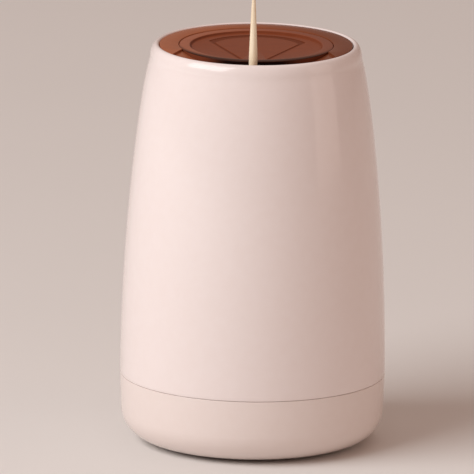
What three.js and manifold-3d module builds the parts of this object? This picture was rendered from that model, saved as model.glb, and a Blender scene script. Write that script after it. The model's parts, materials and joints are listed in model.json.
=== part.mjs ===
// Toothpick dispenser. A tapered shell with a press button in its top stands on a round base. Inside,
// the button's two legs press a forked lever, and the lever works a lifter in a chute, which goes down
// for one pick out of the hopper and lifts it through the outlet when the button is let go.
// Millimetres, +Z up, front towards -Y, origin at the middle of the plane that the feet stand on.
// The model is made at rest: button up, lever up, one pick standing in the outlet.

import * as THREE from 'three';
import { mergeVertices } from 'three/addons/utils/BufferGeometryUtils.js';
import Module from 'manifold-3d';

const wasm = await Module();
wasm.setup();

// The picks, which everything else is sized for
const PICK_LENGTH = 65;
const PICK_DIAMETER = 2;
const PICK_TAPER = 14;
const PICK_TIP_DIAMETER = 0.7;
const PICK_SPACING = 2.3;
const PICK_ROWS = 6;

// Running clearance between pieces, and the overrun that every cut and join shares
const GAP = 0.3;
const OVERRUN = 0.5;

// The body's outline; the head room is from the tips of the stock to the lip
const HEAD_ROOM = 13;
const SEAM_RADIUS = 31.2;
const SEAM_HEIGHT = 16.2;
const FLANK_DRAW = 5.7;
const FLANK_TUCK = 0.6;
const SHELL_WALL = 2;
const LIP_SHOULDER_DROP = 3.2;
const LIP_RIDGE_INSET = 1.5;
const LIP_INNER_ROUND = 0.6;

// The base
const FOOT_HEIGHT = 1;
const FOOT_RADIUS = 4;
const FOOT_RECESS = 0.6;
const FOOT_INSET = 7.65;
const FOOT_COUNT = 4;
const BASE_FLOOR = 2.2;
const BASE_EDGE_ROUND = 7.2;
const BASE_DRAFT = 0.35;
const SPIGOT_HEIGHT = 3.3;
const SPIGOT_WALL = 1;
const SPIGOT_CHAMFER = 0.4;

// The ledge in the shell's mouth, the collar on it and the trough in the collar
const LEDGE_WIDTH = 1.9;
const LEDGE_THICKNESS = 1.5;
const LEDGE_NOTCH_HALF = 15;
const COLLAR_RECESS = 0.3;
const COLLAR_PLATE = 1.6;
const COLLAR_FOOT = 1.2;
const COLLAR_HEM_WALL = 1.2;
const COLLAR_WIDTH = 4.6;
const TROUGH_INNER_ANGLE = 19.9;
const TROUGH_OUTER_ANGLE = 29.8;
const TROUGH_END_DEPTH = 0.4;
const TROUGH_MIDDLE_DEPTH = 3.6;
const TROUGH_FLOOR = 1.2;
const OUTLET_INSET = 2.6;
const OUTLET_WALL = 0.7;
const OUTLET_SIDE_WALL = 1.3;
const OUTLET_TUBE_LENGTH = 8.9;

// The button, the ring that keeps it and its legs
const BUTTON_RECESS = 0.3;
const BUTTON_PLATE = 1.8;
const BUTTON_DISH = 0.5;
const BUTTON_RIM = 2.2;
const BUTTON_SKIRT_WALL = 1.4;
const BUTTON_SKIRT_LENGTH = 4.2;
const BUTTON_EDGE_ROUND = 0.6;
const RIB_LENGTH = 6;
const RIB_WALL = 1;
const LINE_DEPTH = 0.3;
const LINE_WIDTH = 0.8;
const FAN_FRONT_SETBACK = 7.2;
const CARRIER_THICKNESS = 2.2;
const CARRIER_FLANGE = 1.4;
const CARRIER_WIDTH = 5.1;
const CARRIER_FRONT_SETBACK = 11.2;
const LEG_DIAMETER = 3;
const LEG_INSET = 1;
const LEG_SOCKET_DEPTH = 1.4;

// The hopper
const HOPPER_BACK_BULGE = 1.05;
const HOPPER_ARM_GAP = 0.4;
const HOPPER_WALL = 1.2;
const HOPPER_FLOOR = 1.2;
const HOPPER_FLOOR_HEIGHT = 17;
const HOPPER_TOP_DROP = 11;
const CHUTE_TOP_GAP = 1.5;
const CHUTE_LENGTH = 4.7;
const TAB_REACH = 4.1;
const TAB_WIDTH = 4.4;
const TAB_THICKNESS = 1.8;
const TAB_SETBACK = 14.2;

// The chassis plate, its ears, posts and screws
const POST_HEIGHT = 2;
const POST_RADIUS = 2.6;
const PLATE_THICKNESS = 1.6;
const PLATE_MARGIN = 2.6;
const PLATE_FRONT_SETBACK = 8.7;
const EAR_THICKNESS = 1.8;
const EAR_RADIUS = 3;
const SCREW_DIAMETER = 2;
const SCREW_HEAD_RADIUS = 1.9;
const SCREW_HEAD_HEIGHT = 1.3;
const SCREW_INSET = 5.3;
const SCREW_SIDE_ANGLE = -10;
const SCREW_SLOT_WIDTH = 0.5;
const SCREW_SLOT_DEPTH = 0.6;

// The lever and its pivot
const PIVOT_HEIGHT = 23.8;
const AXLE_DIAMETER = 2;
const AXLE_HEAD_RADIUS = 1.9;
const AXLE_HEAD_LENGTH = 1;
const CLIP_RADIUS = 2.2;
const CLIP_THICKNESS = 0.8;
const CLIP_GROOVE_DEPTH = 0.3;
const HUB_RADIUS = 2.6;
const HUB_CLEARANCE = 0.55;
const ARM_THICKNESS = 1.8;
const ARM_HALF_HEIGHT = 1.6;
const FORK_HALF_HEIGHT = 2.8;
const FORK_SLOT_CLEARANCE = 0.6;
const FORK_NECK_LENGTH = 3;
const TRUNNION_RADIUS = 2.3;
const TRUNNION_REACH = 10.6;
const TRUNNION_LENGTH = 4.6;

// The lifter
const LIFT = 33;
const LIFTER_BAR_DIAMETER = 2;
const LIFTER_BAR_SETBACK = 1.2;
const LIFTER_BELOW_BAR = 2.2;
const LIFTER_LENGTH = 4;
const CUP_DEPTH = 1;
const CUP_FLOOR_RADIUS = 0.55;
const CUP_MOUTH_RADIUS = 0.95;

// The return springs
const SPRING_RADIUS = 2.1;
const SPRING_WIRE = 0.8;
const SPRING_TURNS = 7;
const SPRING_END_SHARE = 0.5;
const SPRING_STUD_CLEARANCE = 0.3;
const SPRING_STUD_HEIGHT = 2;

// Fineness of round shapes, in counts
const BODY_SIDES = 56;
const ROUND_SIDES = 16;
const PICK_SIDES = 8;
const FLANK_STEPS = 8;
const ARC_STEPS = 4;
const SPRING_STEPS = 8;
const SPRING_SIDES = 5;

// Radii and heights that follow from the sizes above
const pickRadius = PICK_DIAMETER / 2;
const stockFoot = HOPPER_FLOOR_HEIGHT + GAP;
const bodyHeight = stockFoot + PICK_LENGTH + HEAD_ROOM;
const seamTop = SEAM_HEIGHT + GAP;
const lipRidgeRadius = SEAM_RADIUS - FLANK_DRAW - FLANK_TUCK - LIP_RIDGE_INSET;
const mouthRadius = lipRidgeRadius - LIP_INNER_ROUND;
const shoulderHeight = bodyHeight - LIP_SHOULDER_DROP;
const collarTop = bodyHeight - COLLAR_RECESS;
const collarUnder = collarTop - COLLAR_PLATE;
const collarRadius = mouthRadius - GAP;
const ledgeTop = collarUnder - COLLAR_FOOT - GAP;
const ledgeUnder = ledgeTop - LEDGE_THICKNESS;
const ledgeRadius = mouthRadius - LEDGE_WIDTH;
const collarBoreRadius = mouthRadius - COLLAR_WIDTH;
const troughMiddle = collarTop - TROUGH_MIDDLE_DEPTH;
const outletTubeUnder = troughMiddle - OUTLET_TUBE_LENGTH;
const outletY = OUTLET_INSET - mouthRadius;
const buttonTop = bodyHeight - BUTTON_RECESS;
const buttonUnder = buttonTop - BUTTON_DISH - BUTTON_PLATE;
const buttonRadius = collarBoreRadius - GAP;
const buttonDishRadius = buttonRadius - BUTTON_RIM;
const skirtUnder = buttonTop - BUTTON_SKIRT_LENGTH;
const carrierTop = skirtUnder - GAP;
const carrierUnder = carrierTop - CARRIER_THICKNESS;
const carrierBoreRadius = collarBoreRadius - CARRIER_WIDTH;
const legX = carrierBoreRadius + LEG_INSET;
const armInnerX = legX - TRUNNION_LENGTH / 2;
const baseFloorTop = FOOT_HEIGHT + BASE_FLOOR;
const baseInnerRadius = SEAM_RADIUS - SHELL_WALL - GAP - SPIGOT_WALL;
const baseFlatRadius = SEAM_RADIUS - BASE_DRAFT - BASE_EDGE_ROUND;
const postTop = baseFloorTop + POST_HEIGHT;
const plateUnder = postTop + GAP;
const plateTop = plateUnder + PLATE_THICKNESS;
const plateRadius = baseInnerRadius - PLATE_MARGIN;
const hopperUnder = plateTop + GAP;
const chuteTop = outletTubeUnder - CHUTE_TOP_GAP;
const chuteHalf = pickRadius + GAP;
const chuteFrontY = outletY - chuteHalf;
const chuteBackY = chuteFrontY + CHUTE_LENGTH;
const hopperHalfWidth = armInnerX - HOPPER_ARM_GAP - HOPPER_WALL;
const hopperBackRadius = hopperHalfWidth + HOPPER_BACK_BULGE;
const hopperCornerY = Math.sqrt(hopperBackRadius ** 2 - hopperHalfWidth ** 2);
const tabY = outletY + TAB_SETBACK;

// The lever's swing: its fork stays level with the bar, which rises and falls in the chute
const pivotY = hopperBackRadius + HOPPER_WALL + HUB_CLEARANCE + HUB_RADIUS;
const lifterBarY = outletY + LIFTER_BAR_SETBACK;
const barReach = pivotY - lifterBarY;
const swing = Math.atan2(LIFT / 2, barReach);
const forkReach = barReach / Math.cos(swing) + LIFTER_BAR_DIAMETER / 2;
const press = 2 * TRUNNION_REACH * Math.sin(swing);
const barHeight = PIVOT_HEIGHT + LIFT / 2;
const trunnionY = pivotY - TRUNNION_REACH * Math.cos(swing);
const trunnionHeight = PIVOT_HEIGHT + TRUNNION_REACH * Math.sin(swing);
const legUnder = trunnionHeight + TRUNNION_RADIUS + GAP;
const cupTop = HOPPER_FLOOR_HEIGHT + LIFT - GAP;
const pickFoot = cupTop - CUP_DEPTH + GAP;

// Colours and surfaces
const shellPlastic = { color: 0xf1e6e1, roughness: 0.22, metalness: 0 };
const smokyPlastic = { color: 0x6b3a28, roughness: 0.2, metalness: 0 };
const innerPlastic = { color: 0xe4e0d8, roughness: 0.45, metalness: 0 };
const greyPlastic = { color: 0x9a9c9e, roughness: 0.5, metalness: 0 };
const steel = { color: 0xb9bcc0, roughness: 0.3, metalness: 1 };
const wood = { color: 0xe8cf9f, roughness: 0.7, metalness: 0 };
const rubber = { color: 0x3a3634, roughness: 0.85, metalness: 0 };

// Turns a closed geometry into a solid with its faces pointing out
function solid(geometry) {
  const bare = geometry.clone();
  bare.deleteAttribute('normal');
  bare.deleteAttribute('uv');
  const merged = mergeVertices(bare);
  const index = merged.index.array;
  const triangles = [];
  for (let i = 0; i < index.length; i += 3) {
    const [a, b, c] = [index[i], index[i + 1], index[i + 2]];
    if (a !== b && b !== c && c !== a) triangles.push(a, b, c);
  }
  const triVerts = new Uint32Array(triangles);
  const vertProperties = new Float32Array(merged.attributes.position.array);
  if (volume(vertProperties, triVerts) < 0) triVerts.reverse();
  return new wasm.Manifold(new wasm.Mesh({ numProp: 3, vertProperties, triVerts }));
}

// Six times the signed volume inside a list of triangles
function volume(vertices, triangles) {
  const [a, b, c] = [new THREE.Vector3(), new THREE.Vector3(), new THREE.Vector3()];
  let sum = 0;
  for (let i = 0; i < triangles.length; i += 3) {
    a.fromArray(vertices, triangles[i] * 3);
    b.fromArray(vertices, triangles[i + 1] * 3);
    c.fromArray(vertices, triangles[i + 2] * 3);
    sum += a.dot(b.cross(c));
  }
  return sum;
}

// Turns a solid back into a geometry
function geometryOf(body) {
  const mesh = body.getMesh();
  const geometry = new THREE.BufferGeometry();
  geometry.setAttribute('position', new THREE.BufferAttribute(mesh.vertProperties, 3));
  geometry.setIndex(new THREE.BufferAttribute(mesh.triVerts, 1));
  geometry.computeVertexNormals();
  return geometry;
}

// A body of revolution about Z from [radius, height] points; a closed profile repeats its first point
function revolve(points, sides = ROUND_SIDES) {
  const profile = points.map(([radius, height]) => new THREE.Vector2(radius, height));
  return solid(new THREE.LatheGeometry(profile, sides).rotateX(Math.PI / 2));
}

// A ring of revolution, its profile closed on itself
function ring(points, sides = BODY_SIDES) {
  return revolve([...points, points[0]], sides);
}

// A round bar along Z from one height to another
function bar(radius, bottom, top, sides = ROUND_SIDES) {
  return revolve([[0, bottom], [radius, bottom], [radius, top], [0, top]], sides);
}

// A box from its lowest to its highest corner
function block([x0, y0, z0], [x1, y1, z1]) {
  const box = new THREE.BoxGeometry(x1 - x0, y1 - y0, z1 - z0);
  return solid(box.translate((x0 + x1) / 2, (y0 + y1) / 2, (z0 + z1) / 2));
}

// An outline in the XY plane raised from one height to another
function raise(shape, bottom, top) {
  const options = { depth: top - bottom, bevelEnabled: false, curveSegments: ROUND_SIDES };
  return solid(new THREE.ExtrudeGeometry(shape, options).translate(0, 0, bottom));
}

// An outline in the YZ plane carried from one x to another
function carryAlongX(shape, from, to) {
  const options = { depth: to - from, bevelEnabled: false, curveSegments: ROUND_SIDES / 2 };
  const turned = new THREE.Matrix4().makeBasis(
    new THREE.Vector3(0, 1, 0), new THREE.Vector3(0, 0, 1), new THREE.Vector3(1, 0, 0));
  const geometry = new THREE.ExtrudeGeometry(shape, options).applyMatrix4(turned);
  return solid(geometry.translate(from, 0, 0));
}

// An outline in the XZ plane carried back from one y to a lower y
function carryAlongY(shape, from, to) {
  const options = { depth: from - to, bevelEnabled: false };
  const turned = new THREE.Matrix4().makeBasis(
    new THREE.Vector3(1, 0, 0), new THREE.Vector3(0, 0, 1), new THREE.Vector3(0, -1, 0));
  const geometry = new THREE.ExtrudeGeometry(shape, options).applyMatrix4(turned);
  return solid(geometry.translate(0, from, 0));
}

// A straight-sided outline through [a, b] points
function outline(points) {
  return new THREE.Shape(points.map(([a, b]) => new THREE.Vector2(a, b)));
}

// A round bar along X
function crossBar(radius, from, to, y, z, sides = ROUND_SIDES) {
  const circle = new THREE.Shape().absarc(0, 0, radius, 0, 2 * Math.PI);
  const options = { depth: to - from, bevelEnabled: false, curveSegments: sides };
  const geometry = new THREE.ExtrudeGeometry(circle, options).rotateY(Math.PI / 2);
  return solid(geometry.translate(from, y, z));
}

// Points of a quarter or other stretch of an ellipse, from one angle to another in degrees
function arc(centreRadius, centreHeight, reach, rise, from, to, steps = ARC_STEPS) {
  const points = [];
  for (let step = 0; step <= steps; step += 1) {
    const angle = THREE.MathUtils.degToRad(from + (to - from) * step / steps);
    points.push([centreRadius + reach * Math.cos(angle), centreHeight + rise * Math.sin(angle)]);
  }
  return points;
}

// The body's outer radius at a height: a slow curve inwards that tightens under the lip
const flankTurnPower = 14;
function flankRadius(height) {
  const share = (height - seamTop) / (shoulderHeight - seamTop);
  return SEAM_RADIUS - FLANK_DRAW * share ** 2 - FLANK_TUCK * share ** flankTurnPower;
}

// Points down or up the body's flank, drawn in by a wall
function flank(from, to, wall, steps) {
  const points = [];
  for (let step = 0; step <= steps; step += 1) {
    const height = from + (to - from) * step / steps;
    points.push([flankRadius(height) - wall, height]);
  }
  return points;
}

// Moves a solid in the plan
function at(body, x, y, z = 0) {
  return body.translate([x, y, z]);
}

// The places of the picks, screws and feet in the plan
function onCircle(radius, degrees) {
  const angle = THREE.MathUtils.degToRad(degrees);
  return [radius * Math.cos(angle), radius * Math.sin(angle)];
}

// Outer shell: the tapered skirt, the rounded lip and the ledge that the collar stands on
function makeOuterShell() {
  const shoulderRadius = flankRadius(shoulderHeight);
  const lipOuter = arc(lipRidgeRadius, shoulderHeight, shoulderRadius - lipRidgeRadius,
    LIP_SHOULDER_DROP, 0, 90);
  const lipInner = arc(lipRidgeRadius, bodyHeight - LIP_INNER_ROUND, LIP_INNER_ROUND,
    LIP_INNER_ROUND, 90, 180, ARC_STEPS - 1);
  const skin = ring([
    ...flank(seamTop, shoulderHeight, 0, FLANK_STEPS),
    ...lipOuter.slice(1),
    ...lipInner.slice(1),
    [mouthRadius, ledgeTop],
    [ledgeRadius, ledgeTop],
    [ledgeRadius, ledgeUnder],
    ...flank(ledgeUnder, seamTop, SHELL_WALL, FLANK_STEPS / 2),
  ]);
  const notch = block([-LEDGE_NOTCH_HALF, -mouthRadius - OVERRUN, ledgeUnder - OVERRUN],
    [LEDGE_NOTCH_HALF, 0, ledgeTop + OVERRUN]);
  return skin.subtract(notch.intersect(bar(mouthRadius, ledgeUnder - OVERRUN, ledgeTop, BODY_SIDES)));
}

// Where the trough's right end meets the collar's bore and the shell's mouth
function troughCorners() {
  return [onCircle(collarBoreRadius, -TROUGH_INNER_ANGLE), onCircle(mouthRadius, -TROUGH_OUTER_ANGLE)];
}

// Plan of the trough in the collar: it widens outwards, and a margin grows it all round
function troughPlan(margin) {
  const [[innerHalf, innerY], [outerHalf, outerY]] = troughCorners();
  const slope = (outerHalf - innerHalf) / (innerY - outerY);
  const frontY = -mouthRadius - OVERRUN;
  const frontHalf = innerHalf + slope * (innerY - frontY) + margin;
  const backHalf = innerHalf + margin;
  return outline([[-frontHalf, frontY], [frontHalf, frontY],
    [backHalf, innerY + margin], [-backHalf, innerY + margin]]);
}

// The trough's floor falls in two ramps from its ends to a flat middle; this is a slab under it or over it
function troughSlab(under, over) {
  const [[innerHalf], [outerHalf]] = troughCorners();
  const endHeight = collarTop - TROUGH_END_DEPTH;
  const middleHalf = chuteHalf + OUTLET_SIDE_WALL;
  const far = outerHalf + TROUGH_MIDDLE_DEPTH;
  const fall = (endHeight - troughMiddle) / (innerHalf - middleHalf);
  const farHeight = Math.min(endHeight + fall * (far - innerHalf), collarTop - GAP);
  const rise = [[-far, farHeight], [-innerHalf, endHeight], [-middleHalf, troughMiddle],
    [middleHalf, troughMiddle], [innerHalf, endHeight], [far, farHeight]];
  const below = rise.map(([x, z]) => [x, z - under]);
  const above = rise.map(([x, z]) => [x, z + over]).reverse();
  return carryAlongY(outline([...below, ...above]), 0, -mouthRadius - OVERRUN);
}

// Outlet collar: a stepped ring with the trough let into its front and the outlet's guide tube under it
function makeOutletCollar() {
  const footRadius = ledgeRadius + GAP;
  const hemRadius = collarBoreRadius + COLLAR_HEM_WALL;
  const plate = ring([[collarBoreRadius, skirtUnder], [hemRadius, skirtUnder], [hemRadius, collarUnder],
    [footRadius, collarUnder], [footRadius, ledgeTop + GAP], [collarRadius, ledgeTop + GAP],
    [collarRadius, collarTop], [collarBoreRadius, collarTop]]);
  const low = carrierUnder - OUTLET_TUBE_LENGTH;
  const sleeve = ring([[collarBoreRadius, low], [collarRadius, low],
    [collarRadius, collarTop], [collarBoreRadius, collarTop]]);
  const opening = raise(troughPlan(0), low, collarTop + OVERRUN);
  const floor = troughSlab(TROUGH_FLOOR, 0).intersect(sleeve).intersect(
    raise(troughPlan(COLLAR_PLATE), low, collarTop));
  const tubeHalf = chuteHalf + OUTLET_SIDE_WALL;
  const tube = block([-tubeHalf, chuteFrontY - OUTLET_WALL, outletTubeUnder],
    [tubeHalf, outletY + chuteHalf + OUTLET_WALL, troughMiddle]);
  const bore = at(bar(chuteHalf, low, collarTop), 0, outletY);
  return plate.subtract(opening).add(floor).add(tube).subtract(bore);
}

// The hopper's plan: a round back, sides that converge to the neck, and the chute at the front
function hopperPlan(margin, frontY) {
  const sideAngle = Math.atan2(hopperHalfWidth - chuteHalf, hopperCornerY - chuteBackY);
  const sideShift = margin / Math.cos(sideAngle);
  const backRadius = hopperBackRadius + margin;
  const cornerAngle = cornerOfSide(sideAngle, sideShift, backRadius);
  const neckX = chuteHalf + margin;
  const neckY = chuteBackY - (sideShift - margin) / Math.tan(sideAngle);
  const shape = new THREE.Shape();
  shape.moveTo(-neckX, frontY);
  shape.lineTo(neckX, frontY);
  shape.lineTo(neckX, neckY);
  shape.lineTo(backRadius * Math.cos(cornerAngle), backRadius * Math.sin(cornerAngle));
  shape.absarc(0, 0, backRadius, cornerAngle, Math.PI - cornerAngle);
  shape.lineTo(-neckX, neckY);
  return shape;
}

// The angle at which a side of the hopper, moved out by a shift, meets the round back
function cornerOfSide(sideAngle, sideShift, backRadius) {
  const start = chuteHalf + sideShift - chuteBackY * Math.tan(sideAngle);
  const distance = start * Math.cos(sideAngle);
  return Math.acos(distance / backRadius) - sideAngle;
}

// The part of the hopper's fan behind the chute, as the button repeats it
function fanPlan(margin) {
  return raise(hopperPlan(margin, chuteFrontY), ledgeUnder - bodyHeight, bodyHeight + OVERRUN);
}

// Press button: a shallow dish with a rounded rim, a skirt, and the fan rib that keeps the picks in line
function makePressButton() {
  const dishHeight = buttonTop - BUTTON_DISH;
  const skirtInner = buttonRadius - BUTTON_SKIRT_WALL;
  const rim = arc(buttonRadius - BUTTON_EDGE_ROUND, buttonTop - BUTTON_EDGE_ROUND, BUTTON_EDGE_ROUND,
    BUTTON_EDGE_ROUND, 0, 90, ARC_STEPS - 2);
  const dish = revolve([[0, buttonUnder], [skirtInner, buttonUnder], [skirtInner, skirtUnder],
    [buttonRadius, skirtUnder], ...rim, [buttonDishRadius, buttonTop],
    [buttonDishRadius - BUTTON_DISH, dishHeight], [0, dishHeight]], BODY_SIDES);
  const ribUnder = buttonUnder - RIB_LENGTH;
  const fanFrontY = outletY + FAN_FRONT_SETBACK;
  const band = bar(buttonDishRadius - LINE_WIDTH, ribUnder, bodyHeight, BODY_SIDES);
  const inRange = block([-bodyHeight, fanFrontY, ribUnder],
    [bodyHeight, bodyHeight, buttonUnder + GAP]);
  const rib = fanPlan(RIB_WALL).subtract(fanPlan(0)).intersect(inRange).intersect(band);
  const lineBand = block([-bodyHeight, fanFrontY, dishHeight - LINE_DEPTH],
    [bodyHeight, bodyHeight, dishHeight + OVERRUN]);
  const line = fanPlan(LINE_WIDTH).subtract(fanPlan(0)).intersect(lineBand).intersect(band);
  return dish.add(rib).subtract(line);
}

// Button carrier: the ring under the skirt, its flange under the collar, open in front for the pick
function makeButtonCarrier() {
  const flangeRadius = collarBoreRadius + CARRIER_FLANGE;
  const hoop = ring([[carrierBoreRadius, carrierUnder], [flangeRadius, carrierUnder],
    [flangeRadius, carrierTop], [carrierBoreRadius, carrierTop]]);
  const front = block([-bodyHeight, -bodyHeight, carrierUnder - OVERRUN],
    [bodyHeight, outletY + CARRIER_FRONT_SETBACK, carrierTop + OVERRUN]);
  const socket = bar(LEG_DIAMETER / 2 + GAP, carrierUnder - OVERRUN, carrierUnder + LEG_SOCKET_DEPTH);
  return [-1, 1].reduce((body, side) => body.subtract(at(socket, side * legX, trunnionY)),
    hoop.subtract(front));
}

// Push leg: a rod from its socket in the carrier down to the lever's trunnion
function makePushLeg(side) {
  const radius = LEG_DIAMETER / 2;
  const chamfer = radius / 3;
  const top = carrierUnder + LEG_SOCKET_DEPTH - GAP;
  const rod = revolve([[0, legUnder], [radius - chamfer, legUnder], [radius, legUnder + chamfer],
    [radius, top], [0, top]]);
  return at(rod, side * legX, trunnionY);
}

// Base cup: the rounded base with the spigot that the shell drops over, foot recesses and screw posts
function makeBaseCup() {
  const outerRadius = SEAM_RADIUS - BASE_DRAFT;
  const spigotRadius = SEAM_RADIUS - SHELL_WALL - GAP;
  const spigotTop = SEAM_HEIGHT + SPIGOT_HEIGHT;
  const innerRound = baseInnerRadius - baseFlatRadius;
  const cup = revolve([
    [0, FOOT_HEIGHT],
    ...arc(baseFlatRadius, FOOT_HEIGHT + BASE_EDGE_ROUND, BASE_EDGE_ROUND, BASE_EDGE_ROUND, -90, 0,
      ARC_STEPS + 3).map(([radius, height]) => [Math.min(radius, outerRadius), height]),
    [SEAM_RADIUS, SEAM_HEIGHT],
    [spigotRadius, SEAM_HEIGHT],
    [spigotRadius, spigotTop - SPIGOT_CHAMFER],
    [spigotRadius - SPIGOT_CHAMFER, spigotTop],
    [baseInnerRadius, spigotTop],
    ...arc(baseFlatRadius, baseFloorTop + innerRound, innerRound, innerRound, 0, -90),
    [0, baseFloorTop],
  ], BODY_SIDES);
  const recess = bar(FOOT_RADIUS + GAP, 0, FOOT_HEIGHT + FOOT_RECESS);
  const post = bar(POST_RADIUS, baseFloorTop - OVERRUN, postTop);
  const pilot = bar(SCREW_DIAMETER / 2 + GAP, baseFloorTop - BASE_FLOOR / 2, postTop + OVERRUN);
  let body = cup;
  for (const [x, y] of footPlaces()) {
    body = body.subtract(at(recess, x, y));
  }
  for (const [x, y] of chassisScrewPlaces()) {
    body = body.add(at(post, x, y)).subtract(at(pilot, x, y));
  }
  return body;
}

function footPlaces() {
  const turn = 360 / FOOT_COUNT;
  const footCircle = baseFlatRadius - FOOT_INSET;
  return Array.from({ length: FOOT_COUNT }, (_, i) => onCircle(footCircle, turn * (i + 0.5)));
}

function chassisScrewPlaces() {
  const angles = [SCREW_SIDE_ANGLE, 90, 180 - SCREW_SIDE_ANGLE];
  return angles.map((angle) => onCircle(plateRadius - SCREW_INSET, angle));
}

function hopperScrewPlaces() {
  const x = hopperOuterHalf(tabY) + TAB_REACH / 2 + GAP / 2;
  return [[-x, tabY], [x, tabY]];
}

// The hopper's outer half width at a place along its converging sides
function hopperOuterHalf(y) {
  const slope = (hopperHalfWidth - chuteHalf) / (hopperCornerY - chuteBackY);
  return chuteHalf + slope * (y - chuteBackY) + HOPPER_WALL * Math.hypot(1, slope);
}

// Foot: a rubber disc with a chamfered tread, set into its recess
function makeFoot([x, y]) {
  const chamfer = FOOT_RECESS / 2;
  const top = FOOT_HEIGHT + FOOT_RECESS - GAP;
  const disc = revolve([[0, 0], [FOOT_RADIUS - chamfer, 0], [FOOT_RADIUS, chamfer], [FOOT_RADIUS, top],
    [0, top]]);
  return at(disc, x, y);
}

// Chassis plate: a disc cut straight in front of the lever's forks, with two ears and two spring studs
function makeChassisPlate() {
  const disc = bar(plateRadius, plateUnder, plateTop, BODY_SIDES);
  const front = block([-bodyHeight, -bodyHeight, plateUnder - OVERRUN],
    [bodyHeight, outletY + PLATE_FRONT_SETBACK, plateTop + OVERRUN]);
  const earShape = new THREE.Shape();
  earShape.moveTo(pivotY - EAR_RADIUS, plateTop - OVERRUN);
  earShape.lineTo(pivotY + EAR_RADIUS, plateTop - OVERRUN);
  earShape.absarc(pivotY, PIVOT_HEIGHT, EAR_RADIUS, 0, Math.PI);
  const earInner = armInnerX + ARM_THICKNESS + GAP;
  const pin = crossBar(AXLE_DIAMETER / 2 + GAP, -bodyHeight, bodyHeight, pivotY, PIVOT_HEIGHT);
  const stud = bar(SPRING_RADIUS - SPRING_WIRE / 2 - SPRING_STUD_CLEARANCE, plateTop - OVERRUN,
    plateTop + SPRING_STUD_HEIGHT);
  const hole = bar(SCREW_DIAMETER / 2 + GAP, plateUnder - OVERRUN, plateTop + OVERRUN);
  let body = disc.subtract(front);
  body = body.add(carryAlongX(earShape, earInner, earInner + EAR_THICKNESS));
  body = body.add(carryAlongX(earShape, -earInner - EAR_THICKNESS, -earInner));
  body = body.subtract(pin);
  for (const side of [-1, 1]) {
    body = body.add(at(stud, side * legX, trunnionY));
  }
  for (const [x, y] of [...chassisScrewPlaces(), ...hopperScrewPlaces()]) {
    body = body.subtract(at(hole, x, y));
  }
  return body;
}

// Screw: a pan head with a slot on a plain shank, its head's seat at a height
function makeScrew([x, y], seat, length) {
  const shank = SCREW_DIAMETER / 2;
  const headBottom = seat + GAP;
  const headTop = headBottom + SCREW_HEAD_HEIGHT;
  const edge = SCREW_HEAD_HEIGHT / 3;
  const screw = revolve([[0, seat - length], [shank, seat - length + shank / 2], [shank, headBottom],
    [SCREW_HEAD_RADIUS, headBottom], [SCREW_HEAD_RADIUS, headTop - edge],
    [SCREW_HEAD_RADIUS - edge, headTop], [0, headTop]], ROUND_SIDES / 2);
  const slot = block([-SCREW_HEAD_RADIUS - OVERRUN, -SCREW_SLOT_WIDTH / 2, headTop - SCREW_SLOT_DEPTH],
    [SCREW_HEAD_RADIUS + OVERRUN, SCREW_SLOT_WIDTH / 2, headTop + OVERRUN]);
  return at(screw.subtract(slot), x, y);
}

// Hopper: the fan-shaped bin with its floor, the tall chute in front, the slots for the lifter's bar
// and a screw tab on each side
function makeHopper() {
  const outer = hopperPlan(HOPPER_WALL, chuteFrontY - HOPPER_WALL);
  const inner = hopperPlan(0, chuteFrontY);
  const walls = raise(outer, hopperUnder, chuteTop).subtract(
    raise(inner, hopperUnder - OVERRUN, chuteTop + OVERRUN));
  const lifterBackY = chuteFrontY + GAP + LIFTER_LENGTH + GAP;
  const floorPlan = hopperPlan(HOPPER_WALL / 2, chuteFrontY);
  const floor = raise(floorPlan, HOPPER_FLOOR_HEIGHT - HOPPER_FLOOR, HOPPER_FLOOR_HEIGHT).intersect(
    block([-bodyHeight, lifterBackY, 0], [bodyHeight, bodyHeight, bodyHeight]));
  const aboveBin = block([-bodyHeight, outletY + chuteHalf, chuteTop - HOPPER_TOP_DROP],
    [bodyHeight, bodyHeight, chuteTop + OVERRUN]);
  const slotHalf = LIFTER_BAR_DIAMETER / 2 + GAP;
  const barSlot = block([-bodyHeight, lifterBarY - slotHalf, 0],
    [bodyHeight, lifterBarY + slotHalf, barHeight + slotHalf]);
  const tabX = hopperOuterHalf(tabY) + TAB_REACH;
  const tabs = block([-tabX, tabY - TAB_WIDTH / 2, hopperUnder],
    [tabX, tabY + TAB_WIDTH / 2, hopperUnder + TAB_THICKNESS]).subtract(raise(inner, 0, chuteTop));
  const hole = bar(SCREW_DIAMETER / 2 + GAP, 0, hopperUnder + TAB_THICKNESS + OVERRUN);
  const wallAndFloor = walls.add(floor).subtract(aboveBin).subtract(barSlot).add(tabs);
  return hopperScrewPlaces().reduce((body, [x, y]) => body.subtract(at(hole, x, y)), wallAndFloor);
}

// Axle pin with a round head at one end and a groove for its clip at the other
function makeAxlePin() {
  const radius = AXLE_DIAMETER / 2;
  const end = axleEnd();
  const groove = end + GAP;
  const pin = revolve([[0, -end - AXLE_HEAD_LENGTH], [AXLE_HEAD_RADIUS, -end - AXLE_HEAD_LENGTH],
    [AXLE_HEAD_RADIUS, -end], [radius, -end], [radius, groove],
    [radius - CLIP_GROOVE_DEPTH, groove], [radius - CLIP_GROOVE_DEPTH, groove + CLIP_THICKNESS],
    [radius, groove + CLIP_THICKNESS], [radius, groove + 2 * CLIP_THICKNESS],
    [0, groove + 2 * CLIP_THICKNESS]]);
  return at(pin.rotate([0, 90, 0]), 0, pivotY, PIVOT_HEIGHT);
}

// Half the distance over the ears, with the running gap of the pin's head
function axleEnd() {
  return armInnerX + ARM_THICKNESS + GAP + EAR_THICKNESS + GAP;
}

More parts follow.
